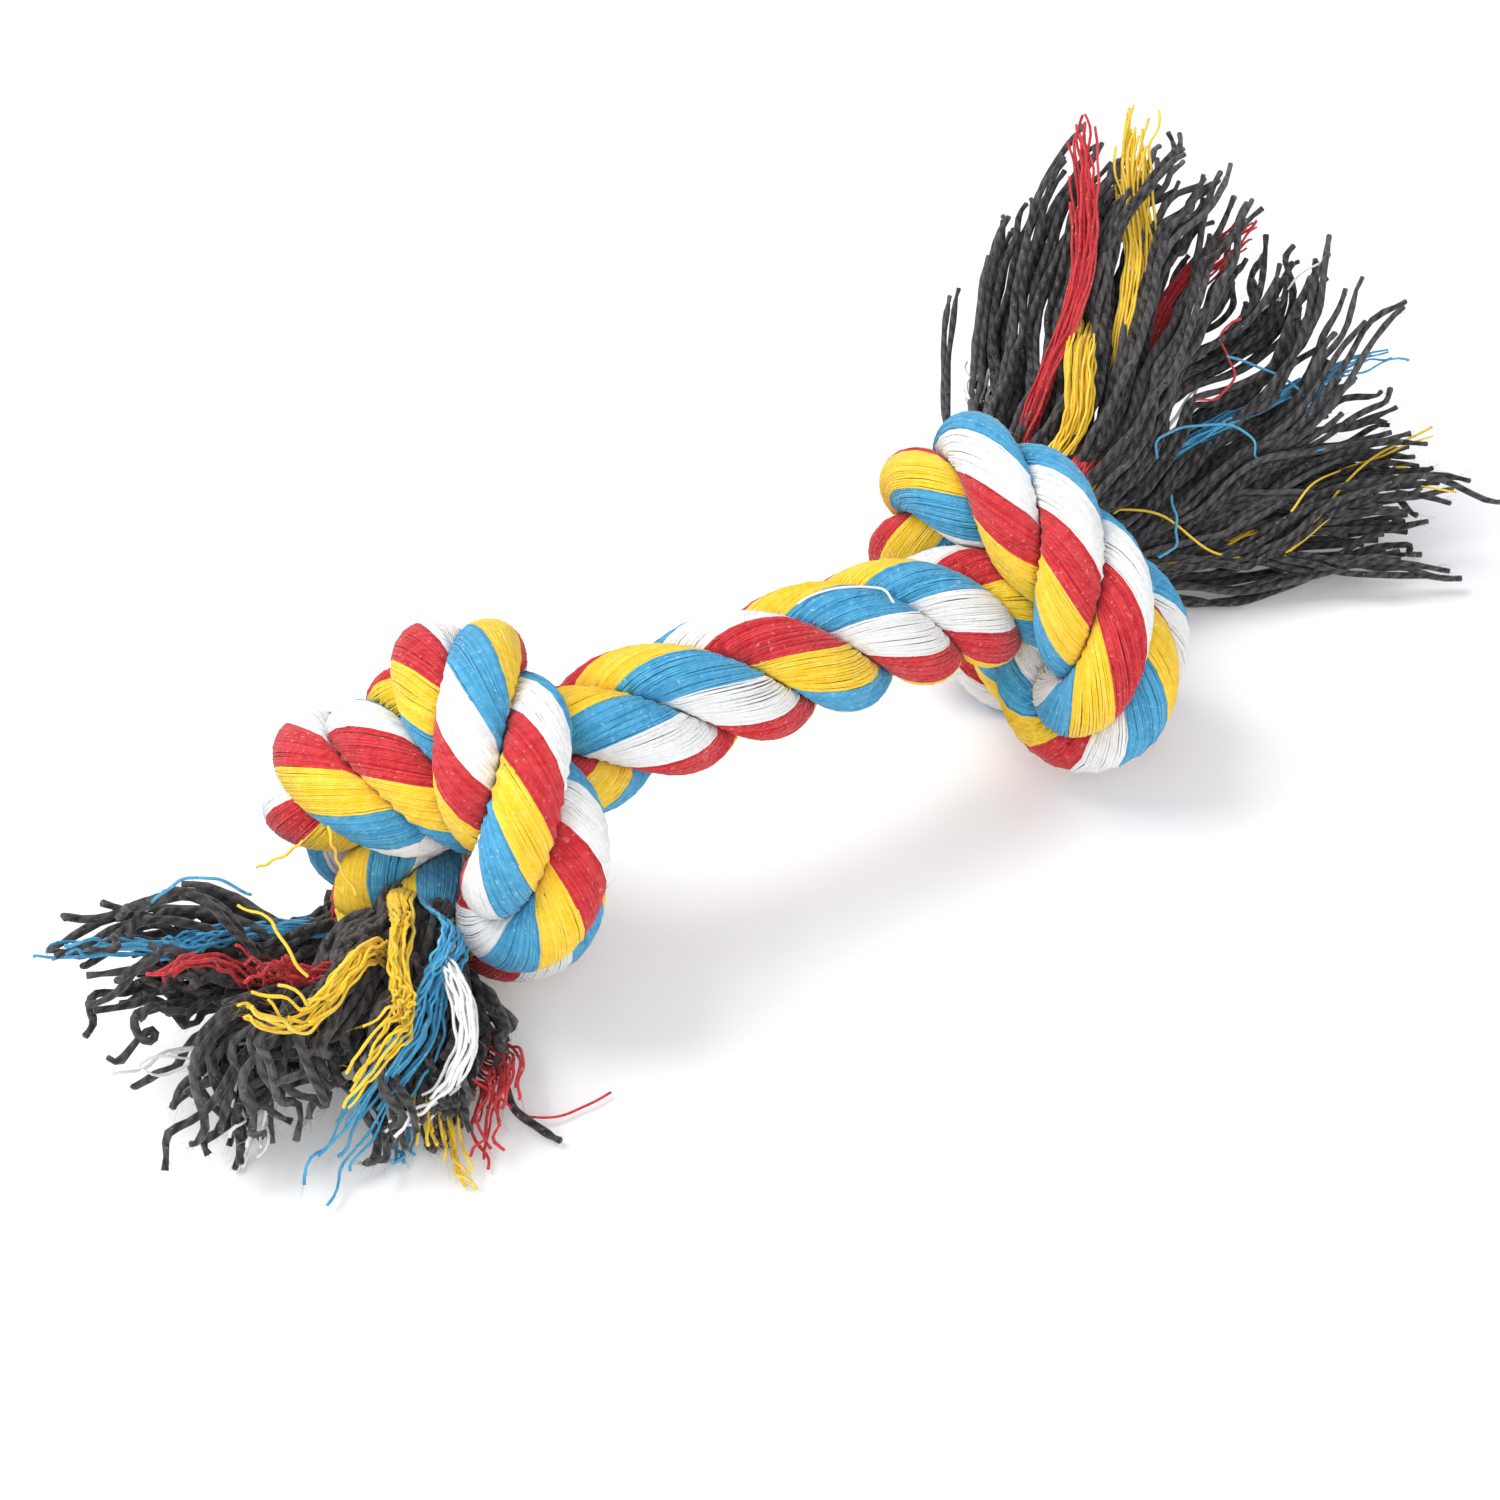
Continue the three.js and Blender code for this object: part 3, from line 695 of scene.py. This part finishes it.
rightTassel = {
    "name": "right", "length": 0.074, "station": -1, "inner": -2,
    "spread": {"dark": (0.0026, 0.009), "fine": (0.0024, 0.0028)},
    "shortest": 0.76, "crimp": 1,
    "arch": {"dark": 0, "blue": -0.003, "white": -0.004, "red": 0.001, "yellow": 0.0025},
    "bows": {
        "red_1": (0.005, -0.009, 0.004), "red_3": (0.0027, 0.004, -0.0037),
        "yellow_1": (0, -0.0115, 0.0075), "yellow_2": (0.0035, 0.001, -0.002),
        "blue_2": (0.0022, 0.0032, -0.003),
        "white_2": (0.004, 0.006, -0.006), "white_3": (0.004, 0.006, -0.006),
        "dark_7": (0.001, -0.002, -0.003), "dark_8": (-0.002, 0.003, 0.007),
    },
    "tips": {
        "dark": [
            [0.4, 0.75, 0.25], [0.6, 0.6, 0.5], [0.7, 0.55, 0.5], [0.8, 0.4, 0.45],
            [0.9, 0.3, 0.3], [0.95, 0.1, 0.3], [1, 0, 0], [0.95, -0.25, -0.1], [0.9, -0.3, -0.2],
        ],
        "blue": [[0.95, 0.05, 0.1], [0.95, 0.1, -0.2], [0.95, -0.05, 0.2]],
        "white": [[0.25, 0.5, 0.15], [0.55, 0.05, -0.2, 0.4], [0.9, 0.2, 0.35, 0.15]],
        "red": [[0.55, 0.6, 0.6], [0.8, 0.1, 0.15, 0.6], [0.85, 0.35, 0.4]],
        "yellow": [[0.4, 0.4, 0.3], [0.6, 0.45, 0.65], [1, -0.05, -0.1]],
    },
}
# the tufts at a strand's end: the first in the middle, then round it
slotColours = ("dark", "white", "dark", "yellow", "red", "dark", "blue")
tuft = {
    "ringRadius": 0.0028, "rootRadius": 0.001, "bellyRadius": 0.0024, "tipRadius": 0.0015,
    "spacing": 0.0033, "gap": 0.0005, "stations": 25, "curveSteps": 80,
    "held": 3, "clearingRounds": 2,
    "leaveShare": 0.35, "arriveShare": 0.3,
}


# Pairs the tufts' places at the rope's end with the tips that lie most nearly the same way: both
# are sorted by their angle about the rope's axis and turned against each other by the best step.
def pairedTips(placeAngles, tipAngles):
    places, tips = np.argsort(placeAngles), np.argsort(tipAngles)
    costs = []
    for step in range(len(tips)):
        turn = placeAngles[places] - tipAngles[np.roll(tips, -step)]
        costs.append(np.abs(np.arctan2(np.sin(turn), np.cos(turn))).sum())
    return places, np.roll(tips, -int(np.argmin(costs)))


# The middle lines of one tassel's tufts: cubics with two guide points, which leave along the strand
# and arrive the way the tuft points. Each row of the list says which strand and colour it is of.
def tuftLines(tassel):
    ends, before = strandLines[:, tassel["station"]], strandLines[:, tassel["inner"]]
    leaving = unit(ends - before)
    middleEnd = ends.mean(0)
    axis = unit(middleEnd - before.mean(0))
    side = unit(np.array([0, 0, 1.0]) - axis * axis[2])
    across = np.cross(axis, side)
    t = np.linspace(0, 1, tuft["curveSteps"])[:, None]
    rows, lines = [], []
    for colour, shares in tassel["tips"].items():
        slots = [k for k, name in enumerate(slotColours) if name == colour]
        strand, slot = (a.ravel() for a in np.meshgrid(np.arange(rope["strands"]), slots, indexing="ij"))
        out = leaving[strand]
        up = unit(side - out * (out @ side)[:, None])
        turn = (2 * np.pi * slot / (len(slotColours) - 1))[:, None]
        away = np.where(slot == 0, 0, tuft["ringRadius"])[:, None]
        aside = np.cos(turn) * up + np.sin(turn) * np.cross(out, up)
        roots = ends[strand] + out * tuft["gap"] + away * aside
        offsets = np.array([share[:3] for share in shares]) * tassel["length"]
        placeOffsets = roots - middleEnd
        places, tips = pairedTips(np.arctan2(placeOffsets @ across, placeOffsets @ side),
                                  np.arctan2(offsets @ across, offsets @ side))
        for index, (place, tip) in enumerate(zip(places, tips)):
            root, goal = roots[place], middleEnd + offsets[tip]
            goal[2] = max(goal[2], tuft["tipRadius"])
            run = goal - root
            p1 = root + out[place] * tuft["leaveShare"] * np.linalg.norm(run)
            p2 = goal - run * tuft["arriveShare"]
            curve = (1 - t)**3 * root + 3 * t * (1 - t)**2 * p1 + 3 * t**2 * (1 - t) * p2 + t**3 * goal
            lines.append(evenly(curve, tuft["stations"]))
            rows.append({
                "colour": colour, "strand": int(strand[place]), "leaving": out[place],
                "cut": shares[tip][3] if len(shares[tip]) > 3 else 1,
                "node": "%s_tuft_%s_%d" % (tassel["name"], colour, index + 1),
            })
    return rows, np.array(lines)


# A tuft swells from its root to its belly and narrows again to its tip.
def tuftRadius(t):
    end = np.where(t < 0.5, tuft["rootRadius"], tuft["tipRadius"])
    return end + (tuft["bellyRadius"] - end) * smoothStep(1 - np.abs(2 * t - 1))


# Moves the tufts' lines clear of the strands, of each other and of the ground: a point too near to
# a strand's nearest station is moved straight out from it, but for the held ones at its own strand.
def settledTufts(rows, lines, tassel):
    stations = tuft["stations"]
    radius = np.broadcast_to(tuftRadius(np.linspace(0, 1, stations)), lines.shape[:2])
    perStrand = strandLines.shape[1]
    strand, at = np.divmod(np.arange(rope["strands"] * perStrand), perStrand)
    fromEnd = at if tassel["station"] == 0 else perStrand - 1 - at
    own = np.array([row["strand"] for row in rows])[:, None] == strand[None]
    free = ~(own & (fromEnd < tuft["held"])[None])
    strandPoints = strandLines.reshape(-1, 3)

    def cleared(now):
        for _ in range(tuft["clearingRounds"]):
            apart = now[:, :, None] - strandPoints
            distance = np.where(free[:, None], np.linalg.norm(apart, axis=3), farAway)
            nearest = distance.argmin(2)
            close = np.take_along_axis(distance, nearest[..., None], 2)[..., 0]
            wanted = rope["strandRadius"] + radius + tuft["gap"]
            move = np.take_along_axis(apart, nearest[..., None, None], 2)[:, :, 0]
            push = move * np.maximum(wanted / close - 1, 0)[..., None]
            push[:, :tuft["held"]] = 0
            now = now + push
        now[..., 2] = np.maximum(now[..., 2], radius - tuft["gap"])
        return now

    return pressedApart(lines, tuft["spacing"], stations, tuft["held"], cleared)


# Both kinds of loose yarn. Yarns lie together in groups: apart is from a group's middle, opening is
# how much more that gets at the tips, and winding is how far a group turns on its way, in radians.
# Flat is a tuft's depth over its width, and swirl is how far it may turn as a whole. Yarns are drawn
# together at their roots up to the gather share, and shared is how far a group may lean to another
# tuft.
loose = {
    "dark": {
        "perTuft": 30, "together": 2, "flat": 1, "radius": 0.00057, "sides": 6, "stations": 46,
        "apart": 0.0006, "opening": 0.0012, "winding": 5, "swirl": 0.8, "gather": 0.22, "shared": 0.55,
        "crimp": 0.0004, "crimpCycles": 7, "bend": 0.0024,
        "tipSwell": -0.35, "fuzzShare": 2.2, "fuzzAtTips": 0.7,
    },
    "fine": {
        "perTuft": 24, "together": 2, "flat": 0.35, "radius": 0.00023, "sides": 4, "stations": 64,
        "apart": 0.0003, "opening": 0.0008, "winding": 8, "swirl": 1.2, "gather": 0.6, "shared": 0,
        "crimp": 0.00024, "crimpCycles": 10, "bend": 0.0014,
        "tipSwell": 0, "fuzzShare": 0.3, "fuzzAtTips": 0.4,
    },
    "easing": 0.0012,          # height over which yarn that nears the ground is eased up
    "chunk": 12,               # paths worked out at a time
    "perSpan": 4,
    "rootSpread": 0.0019,      # radius of the disc that a tuft's dark yarns start in
    "rootDepth": 0.0025,       # how far inside the strand that is
    "anyDirection": (0.3, 0.5, 0.8),
    "heldPart": 8,             # one part in so many of a path, at its root, isn't moved clear
}
wayOut = {
    "bendGrowth": 1.5,         # the slow bend is complete at one over this share of the way out
    "bendCycles": 2.2,
    "leanDone": 0.4,           # share of the way out at which a group has leaned over
    "openFrom": 0.65,          # share at which a group begins to open
    "openMost": 1.4,           # times the opening, for the yarn that opens most
    "crimpDone": 0.2,          # share at which the crimp reaches its first size
    "crimpShare": 0.6,
    "frayFrom": 0.75,          # share at which it begins to grow again
    "frayShare": 1.4,
    "archRate": 1.2,           # the arch ends at one over this share of the way out
    "spiralTurn": 2.4,         # radians from one group of a tuft to the next
    "placeJitter": (0.3, 0.7),
    "swell": 0.1, "swellCycles": 14,
    "tipAt": 0.985, "tipWidth": 0.018,
}


# Keeps loose yarn off the ground and out of the rope: heights are eased up to the ground, and a point
# nearer than a strand's radius to a strand's line is moved straight out from it.
def keptClear(paths, radius, first):
    strandPoints = strandLines.reshape(-1, 3) + shift
    for start in range(0, len(paths), loose["chunk"]):
        part = paths[start:start + loose["chunk"]]
        apart = part[:, first:, None] - strandPoints
        distance = np.linalg.norm(apart, axis=3)
        nearest = distance.argmin(2)[..., None]
        close = np.take_along_axis(distance, nearest, 2)
        out = np.take_along_axis(apart, nearest[..., None], 2)[:, :, 0]
        part[:, first:] += out * np.maximum((rope["strandRadius"] + radius) / close - 1, 0)
    height = paths[..., 2] / loose["easing"]
    paths[..., 2] = radius + loose["easing"] * np.logaddexp(0, height - radius / loose["easing"])
    return paths


# The tufts' middle lines with one slow wave each, which grows from the root, and with their bows,
# each half a sine wave.
def bentTufts(tassel, colour, lines):
    look = loose[kindOf(colour)]
    lines = np.stack([evenly(throughPoints(line, loose["perSpan"]), look["stations"]) for line in lines])
    t = np.linspace(0, 1, look["stations"])
    bend = wavesInSpace(len(lines), look["stations"], wayOut["bendCycles"])
    lines = lines + look["bend"] * (bend - bend[:, :1]) * smoothStep(wayOut["bendGrowth"] * t)[:, None]
    bows = [tassel["bows"].get("%s_%d" % (colour, k + 1), (0, 0, 0)) for k in range(len(lines))]
    return lines + np.array(bows)[:, None] * np.sin(np.pi * t)[:, None]


# Where each yarn is in its tuft's cross-section, whose width grows evenly on the way out. Groups lie
# on a spiral that fills it, as far out as the root of their number, and turn slowly as a whole. The
# yarns of a group wind round its middle and open towards their tips.
def yarnPlaces(look, spread, u):
    tufts, perTuft = u.shape[:2]
    together = look["together"]
    groups = perTuft // together
    k = np.arange(groups) + random.uniform(*wayOut["placeJitter"], (tufts, groups))
    k = np.repeat(k, together, axis=1)
    turn = random.uniform(0, 2 * np.pi, (tufts, 1)) + wayOut["spiralTurn"] * np.floor(k)
    a, b = (np.sqrt(k / groups) * np.cos(turn))[..., None], (np.sqrt(k / groups) * np.sin(turn))[..., None]
    width = spread[0] + (spread[1] - spread[0]) * u
    swirl = random.uniform(0, 2 * np.pi, (tufts, 1, 1))
    swirl = swirl + random.uniform(-1, 1, (tufts, 1, 1)) * look["swirl"] * u
    x = width * (a * np.cos(swirl) - look["flat"] * b * np.sin(swirl))
    y = width * (a * np.sin(swirl) + look["flat"] * b * np.cos(swirl))
    member = np.tile(2 * np.pi * np.arange(together) / together, groups)[None, :, None]
    start = np.repeat(random.uniform(0, 2 * np.pi, (tufts, groups)), together, axis=1)[..., None]
    wind = start + member + look["winding"] * u
    opened = smoothStep((u - wayOut["openFrom"]) / (1 - wayOut["openFrom"]))
    most = random.uniform(0, wayOut["openMost"], (tufts, perTuft, 1))
    apart = look["apart"] + look["opening"] * opened * most
    return x + apart * np.cos(wind), y + apart * np.sin(wind)


# The yarns of some tufts of one colour. Each starts where the strand leaves it, takes its place in
# its tuft's cross-section and is cut at a length of its own. A group leans part of the way over to
# one of the two nearest tufts, and every yarn has a fine crimp of its own that grows at its tip.
def tuftYarns(tassel, colour, members, lines, roots):
    look, spread = loose[kindOf(colour)], tassel["spread"][kindOf(colour)]
    tufts, perTuft = roots.shape[:2]
    stations, together = look["stations"], look["together"]
    groups = perTuft // together
    lines = bentTufts(tassel, colour, lines)
    _, side, across = carriedFrames(lines)
    cuts = np.array([row["cut"] for row in members])[:, None]
    ends = np.where(np.arange(perTuft) < together, 1, cuts)
    lengths = ends * random.uniform(tassel["shortest"], 1, (tufts, perTuft))
    u = np.linspace(0, 1, stations) * lengths[..., None]
    low = np.minimum((u * (stations - 1)).astype(int), stations - 2)
    share = (u * (stations - 1) - low)[..., None]

    def onLines(which):
        return lines[which, low] * (1 - share) + lines[which, low + 1] * share

    rows = np.arange(tufts)[:, None, None]
    line = onLines(rows)
    nearest = np.argsort(np.linalg.norm(lines[:, None, -1] - lines[:, -1], axis=2))[:, 1:3]
    other = np.take_along_axis(nearest, random.integers(0, 2, (tufts, groups)), 1)
    other = np.repeat(other, together, axis=1)[..., None]
    lean = np.repeat(random.uniform(0, look["shared"], (tufts, groups)), together, axis=1)[..., None]
    lean = lean * smoothStep(u / wayOut["leanDone"])
    line += lean[..., None] * (onLines(other) - line)
    x, y = yarnPlaces(look, spread, u)
    bundle = x[..., None] * side[rows, low] + y[..., None] * across[rows, low]
    gathered = smoothStep(u / look["gather"])[..., None]
    crimp = wavesInSpace(tufts * perTuft, stations, look["crimpCycles"]).reshape(line.shape)
    frayed = smoothStep((u - wayOut["frayFrom"]) / (1 - wayOut["frayFrom"]))
    growth = smoothStep(u / wayOut["crimpDone"]) * (wayOut["crimpShare"] + wayOut["frayShare"] * frayed)
    paths = line + (1 - gathered) * (roots - lines[:, None, 0])[:, :, None] + gathered * bundle
    paths += look["crimp"] * tassel["crimp"] * (crimp * growth[..., None])
    paths[..., 2] += tassel["arch"][colour] * np.sin(np.pi * np.clip(wayOut["archRate"] * u, 0, 1))
    return keptClear(paths.reshape(-1, stations, 3), look["radius"], stations // loose["heldPart"])


# A yarn's radius swells and thins a little along it, and a dark one thins out at its cut tip: a bell
# curve about the tip is added to slow waves.
def yarnRadius(count, look):
    t = np.linspace(0, 1, look["stations"])
    tip = look["tipSwell"] * np.exp(-((t - wayOut["tipAt"]) / wayOut["tipWidth"])**2)
    swell = wayOut["swell"] * waves(count, look["stations"], wayOut["swellCycles"])
    return look["radius"] * (1 + swell + tip)


# Where a tuft's yarns start: coloured ones at the ends of their band's yarns on the strand, dark ones
# inside the strand, spread evenly over a disc by the root of a random number.
def tuftRoots(row, line, tassel):
    if row["colour"] != "dark":
        return bandEnds[row["strand"], row["colour"]][:, tassel["station"]]
    perTuft = loose["dark"]["perTuft"]
    up = unit(np.cross(row["leaving"], loose["anyDirection"]))
    over = np.cross(row["leaving"], up)
    away = loose["rootSpread"] * np.sqrt(random.random((perTuft, 1)))
    turn = random.uniform(0, 2 * np.pi, (perTuft, 1))
    start = line[0] + away * (np.cos(turn) * up + np.sin(turn) * over)
    return start - loose["rootDepth"] * row["leaving"]


# One tassel: for each colour one piece of all its tufts' yarns and one of their loose fibres.
def tasselPieces(tassel):
    rows, lines = tuftLines(tassel)
    lines = settledTufts(rows, lines, tassel) + shift
    for colour in tassel["tips"]:
        look = loose[kindOf(colour)]
        name = "%s_tassel_%s" % (tassel["name"], colour)
        at = [k for k, row in enumerate(rows) if row["colour"] == colour]
        members = [rows[k] for k in at]
        roots = [tuftRoots(rows[k], lines[k], tassel) for k in at]
        paths = tuftYarns(tassel, colour, members, lines[at], np.array(roots))
        radius = yarnRadius(len(paths), look)
        tubes(name + "_yarns", paths, radius, look["sides"], colour, [row["node"] for row in members])
        fuzzPiece(name + "_fuzz", paths, colour, look["fuzzShare"], look["fuzzAtTips"])
    print(tassel["name"], "tassel spread")


tasselPieces(leftTassel)
tasselPieces(rightTassel)

# Single threads that lie loose on the toy, each by the points it passes, in millimetres.
strays = {
    "radius": 0.00022, "sides": 4, "stations": 60, "perSpan": 12, "crimp": 0.0001, "crimpCycles": 4,
    "threads": {
        "yellow": [
            [(-84, -9, 30), (-86, -8, 28), (-89, -5, 25)],
            [(-83, -15, 36), (-83, -16, 34), (-82, -15, 29), (-81, -17, 25)],
            [(-97, -18, 32), (-96, -24, 34), (-96, -27, 34), (-96, -31, 32), (-95, -32, 30)],
            [
                (61, 2, 20), (64, 3, 19), (70, 0, 17), (75, -6, 12), (84, -7, 8), (88, -11, 10),
                (98, -9, 15), (109, -7, 18), (118, -10, 22),
            ],
            [(86, -11, 9), (94, -10, 11), (103, -11, 15), (109, -13, 16), (113, -21, 17)],
            [(90, -8, 15), (97, -6, 17), (108, -5, 16), (116, -12, 22)],
        ],
        "blue": [
            [(-94, -15, 30), (-98, -14, 34), (-102, -12, 34), (-106, -10, 30)],
            [
                (69, 2, 27), (70, 3, 30), (79, 5, 28), (85, 3, 27), (88, 0, 25), (88, -1, 22),
                (94, -2, 21), (100, -4, 21),
            ],
            [(87, 7, 37), (94, 6, 33), (97, 1, 31), (99, 0, 27), (96, -2, 23)],
            [(73, 2, 19), (71, -2, 16), (70, -3, 13), (64, -6, 15)],
        ],
        "red": [
            [(-77, -37, 7), (-74, -40, 3), (-73, -42, 2), (-68, -44, 1), (-61, -44, 1)],
            [
                (93, 11, 40), (92, 12, 39), (90, 12, 37), (91, 11, 34), (90, 8, 32), (86, 7, 30),
                (81, 7, 31),
            ],
        ],
        "white": [
            [
                (-13, -17, 43), (-11, -17, 43.4), (-9, -17.4, 43.7), (-5, -18.3, 43.3), (-1, -19.4, 42),
                (-0.6, -22, 41.2),
            ],
        ],
    },
}


# A thread follows a smooth line through its points with a small crimp of its own.
def strayThreads():
    stations = strays["stations"]
    for colour, threads in strays["threads"].items():
        lines = [throughPoints(np.array(points) / 1000, strays["perSpan"]) for points in threads]
        paths = np.stack([evenly(line, stations) for line in lines])
        paths = paths + strays["crimp"] * wavesInSpace(len(paths), stations, strays["crimpCycles"])
        tubes("stray_%s_threads" % colour, paths, strays["radius"], strays["sides"], colour)
    print("loose threads laid")


strayThreads()

# The lens is in pixels of the photograph, and the target is a point on the toy before the slide to
# the origin, with the pixel where it shows.
view = {
    "azimuth": -34.55, "elevation": 38, "distance": 0.38,
    "target": (0.0079, 0.0054, 0.0237), "targetPixel": (775, 665),
    "pixelLens": 2686, "pixels": 1500, "sensor": 36, "nearest": 0.01,
}


# The matrix of a camera or a lamp at a place, which looks away from its back direction.
def placedAt(place, right, up, back):
    return Matrix([[right[k], up[k], back[k], place[k]] for k in range(3)] + [[0, 0, 0, 1]])


# The camera looks straight along its azimuth and elevation; the target lands on its pixel.
def addCamera():
    a, e = math.radians(view["azimuth"]), math.radians(view["elevation"])
    back = np.array([math.sin(a) * math.cos(e), -math.cos(a) * math.cos(e), math.sin(e)])
    right = np.array([math.cos(a), math.sin(a), 0])
    up = np.cross(back, right)
    perPixel = view["distance"] / view["pixelLens"]
    middlePixel = view["pixels"] / 2
    place = np.array(view["target"]) + shift + back * view["distance"]
    place -= right * (view["targetPixel"][0] - middlePixel) * perPixel
    place -= up * (middlePixel - view["targetPixel"][1]) * perPixel
    data = bpy.data.cameras.new("camera")
    data.sensor_width = view["sensor"]
    data.lens = view["pixelLens"] / view["pixels"] * view["sensor"]
    data.clip_start = view["nearest"]
    camera = bpy.data.objects.new("camera", data)
    camera.matrix_world = placedAt(place, right, up, back)
    bpy.context.scene.collection.objects.link(camera)
    bpy.context.scene.camera = camera


studio = {
    "floor": 3.0,                      # half its side
    "floorColour": (0.86, 0.86, 0.86, 1), "floorRoughness": 0.9, "floorSpecular": 0.1,
    "floorGlow": 0.12, "white": (1, 1, 1, 1),
    "worldStrength": 0.73, "worldColour": (0.93, 0.95, 1.0, 1),
    "lights": [
        {"name": "key", "at": (-0.5, 0.35, 0.9), "size": 0.6, "power": 8.6},
        {"name": "fill", "at": (-0.3, -0.65, 0.3), "size": 0.8, "power": 3.4},
    ],
}


# A pale square under the toy, which glows a little where the camera sees it and so turns white.
def addFloor():
    half = studio["floor"]
    mesh = bpy.data.meshes.new("floor")
    corners = [(-half, -half, 0), (half, -half, 0), (half, half, 0), (-half, half, 0)]
    mesh.from_pydata(corners, [], [(0, 1, 2, 3)])
    material = bpy.data.materials.new("paleFloor")
    material.use_nodes = True
    nodes, links = material.node_tree.nodes, material.node_tree.links
    shader = nodes["Principled BSDF"]
    shader.inputs["Base Color"].default_value = studio["floorColour"]
    shader.inputs["Roughness"].default_value = studio["floorRoughness"]
    shader.inputs["Specular IOR Level"].default_value = studio["floorSpecular"]
    shader.inputs["Emission Color"].default_value = studio["white"]
    path = nodes.new("ShaderNodeLightPath")
    glow = nodes.new("ShaderNodeMath")
    glow.operation = "MULTIPLY"
    glow.inputs[1].default_value = studio["floorGlow"]
    links.new(path.outputs["Is Camera Ray"], glow.inputs[0])
    links.new(glow.outputs[0], shader.inputs["Emission Strength"])
    mesh.materials.append(material)
    floor = bpy.data.objects.new("floor", mesh)
    bpy.context.scene.collection.objects.link(floor)


# A pale sky that lights the toy and shows white to the camera, and the lamps, each aimed at the toy.
def addLights():
    world = bpy.data.worlds.new("studio")
    bpy.context.scene.world = world
    world.use_nodes = True
    nodes, links = world.node_tree.nodes, world.node_tree.links
    sky = nodes["Background"]
    sky.inputs["Color"].default_value = studio["worldColour"]
    sky.inputs["Strength"].default_value = studio["worldStrength"]
    seen = nodes.new("ShaderNodeBackground")
    seen.inputs["Color"].default_value = studio["white"]
    path = nodes.new("ShaderNodeLightPath")
    mix = nodes.new("ShaderNodeMixShader")
    links.new(path.outputs["Is Camera Ray"], mix.inputs[0])
    links.new(sky.outputs[0], mix.inputs[1])
    links.new(seen.outputs[0], mix.inputs[2])
    links.new(mix.outputs[0], nodes["World Output"].inputs["Surface"])
    for light in studio["lights"]:
        data = bpy.data.lights.new(light["name"], "AREA")
        data.size = light["size"]
        data.energy = light["power"]
        lamp = bpy.data.objects.new(light["name"], data)
        back = unit(np.array(light["at"]))
        right = unit(np.cross([0, 0, 1.0], back))
        lamp.matrix_world = placedAt(light["at"], right, np.cross(back, right), back)
        bpy.context.scene.collection.objects.link(lamp)


addCamera()
addFloor()
addLights()
bpy.context.scene.view_settings.view_transform = "Standard"

print("dressed")
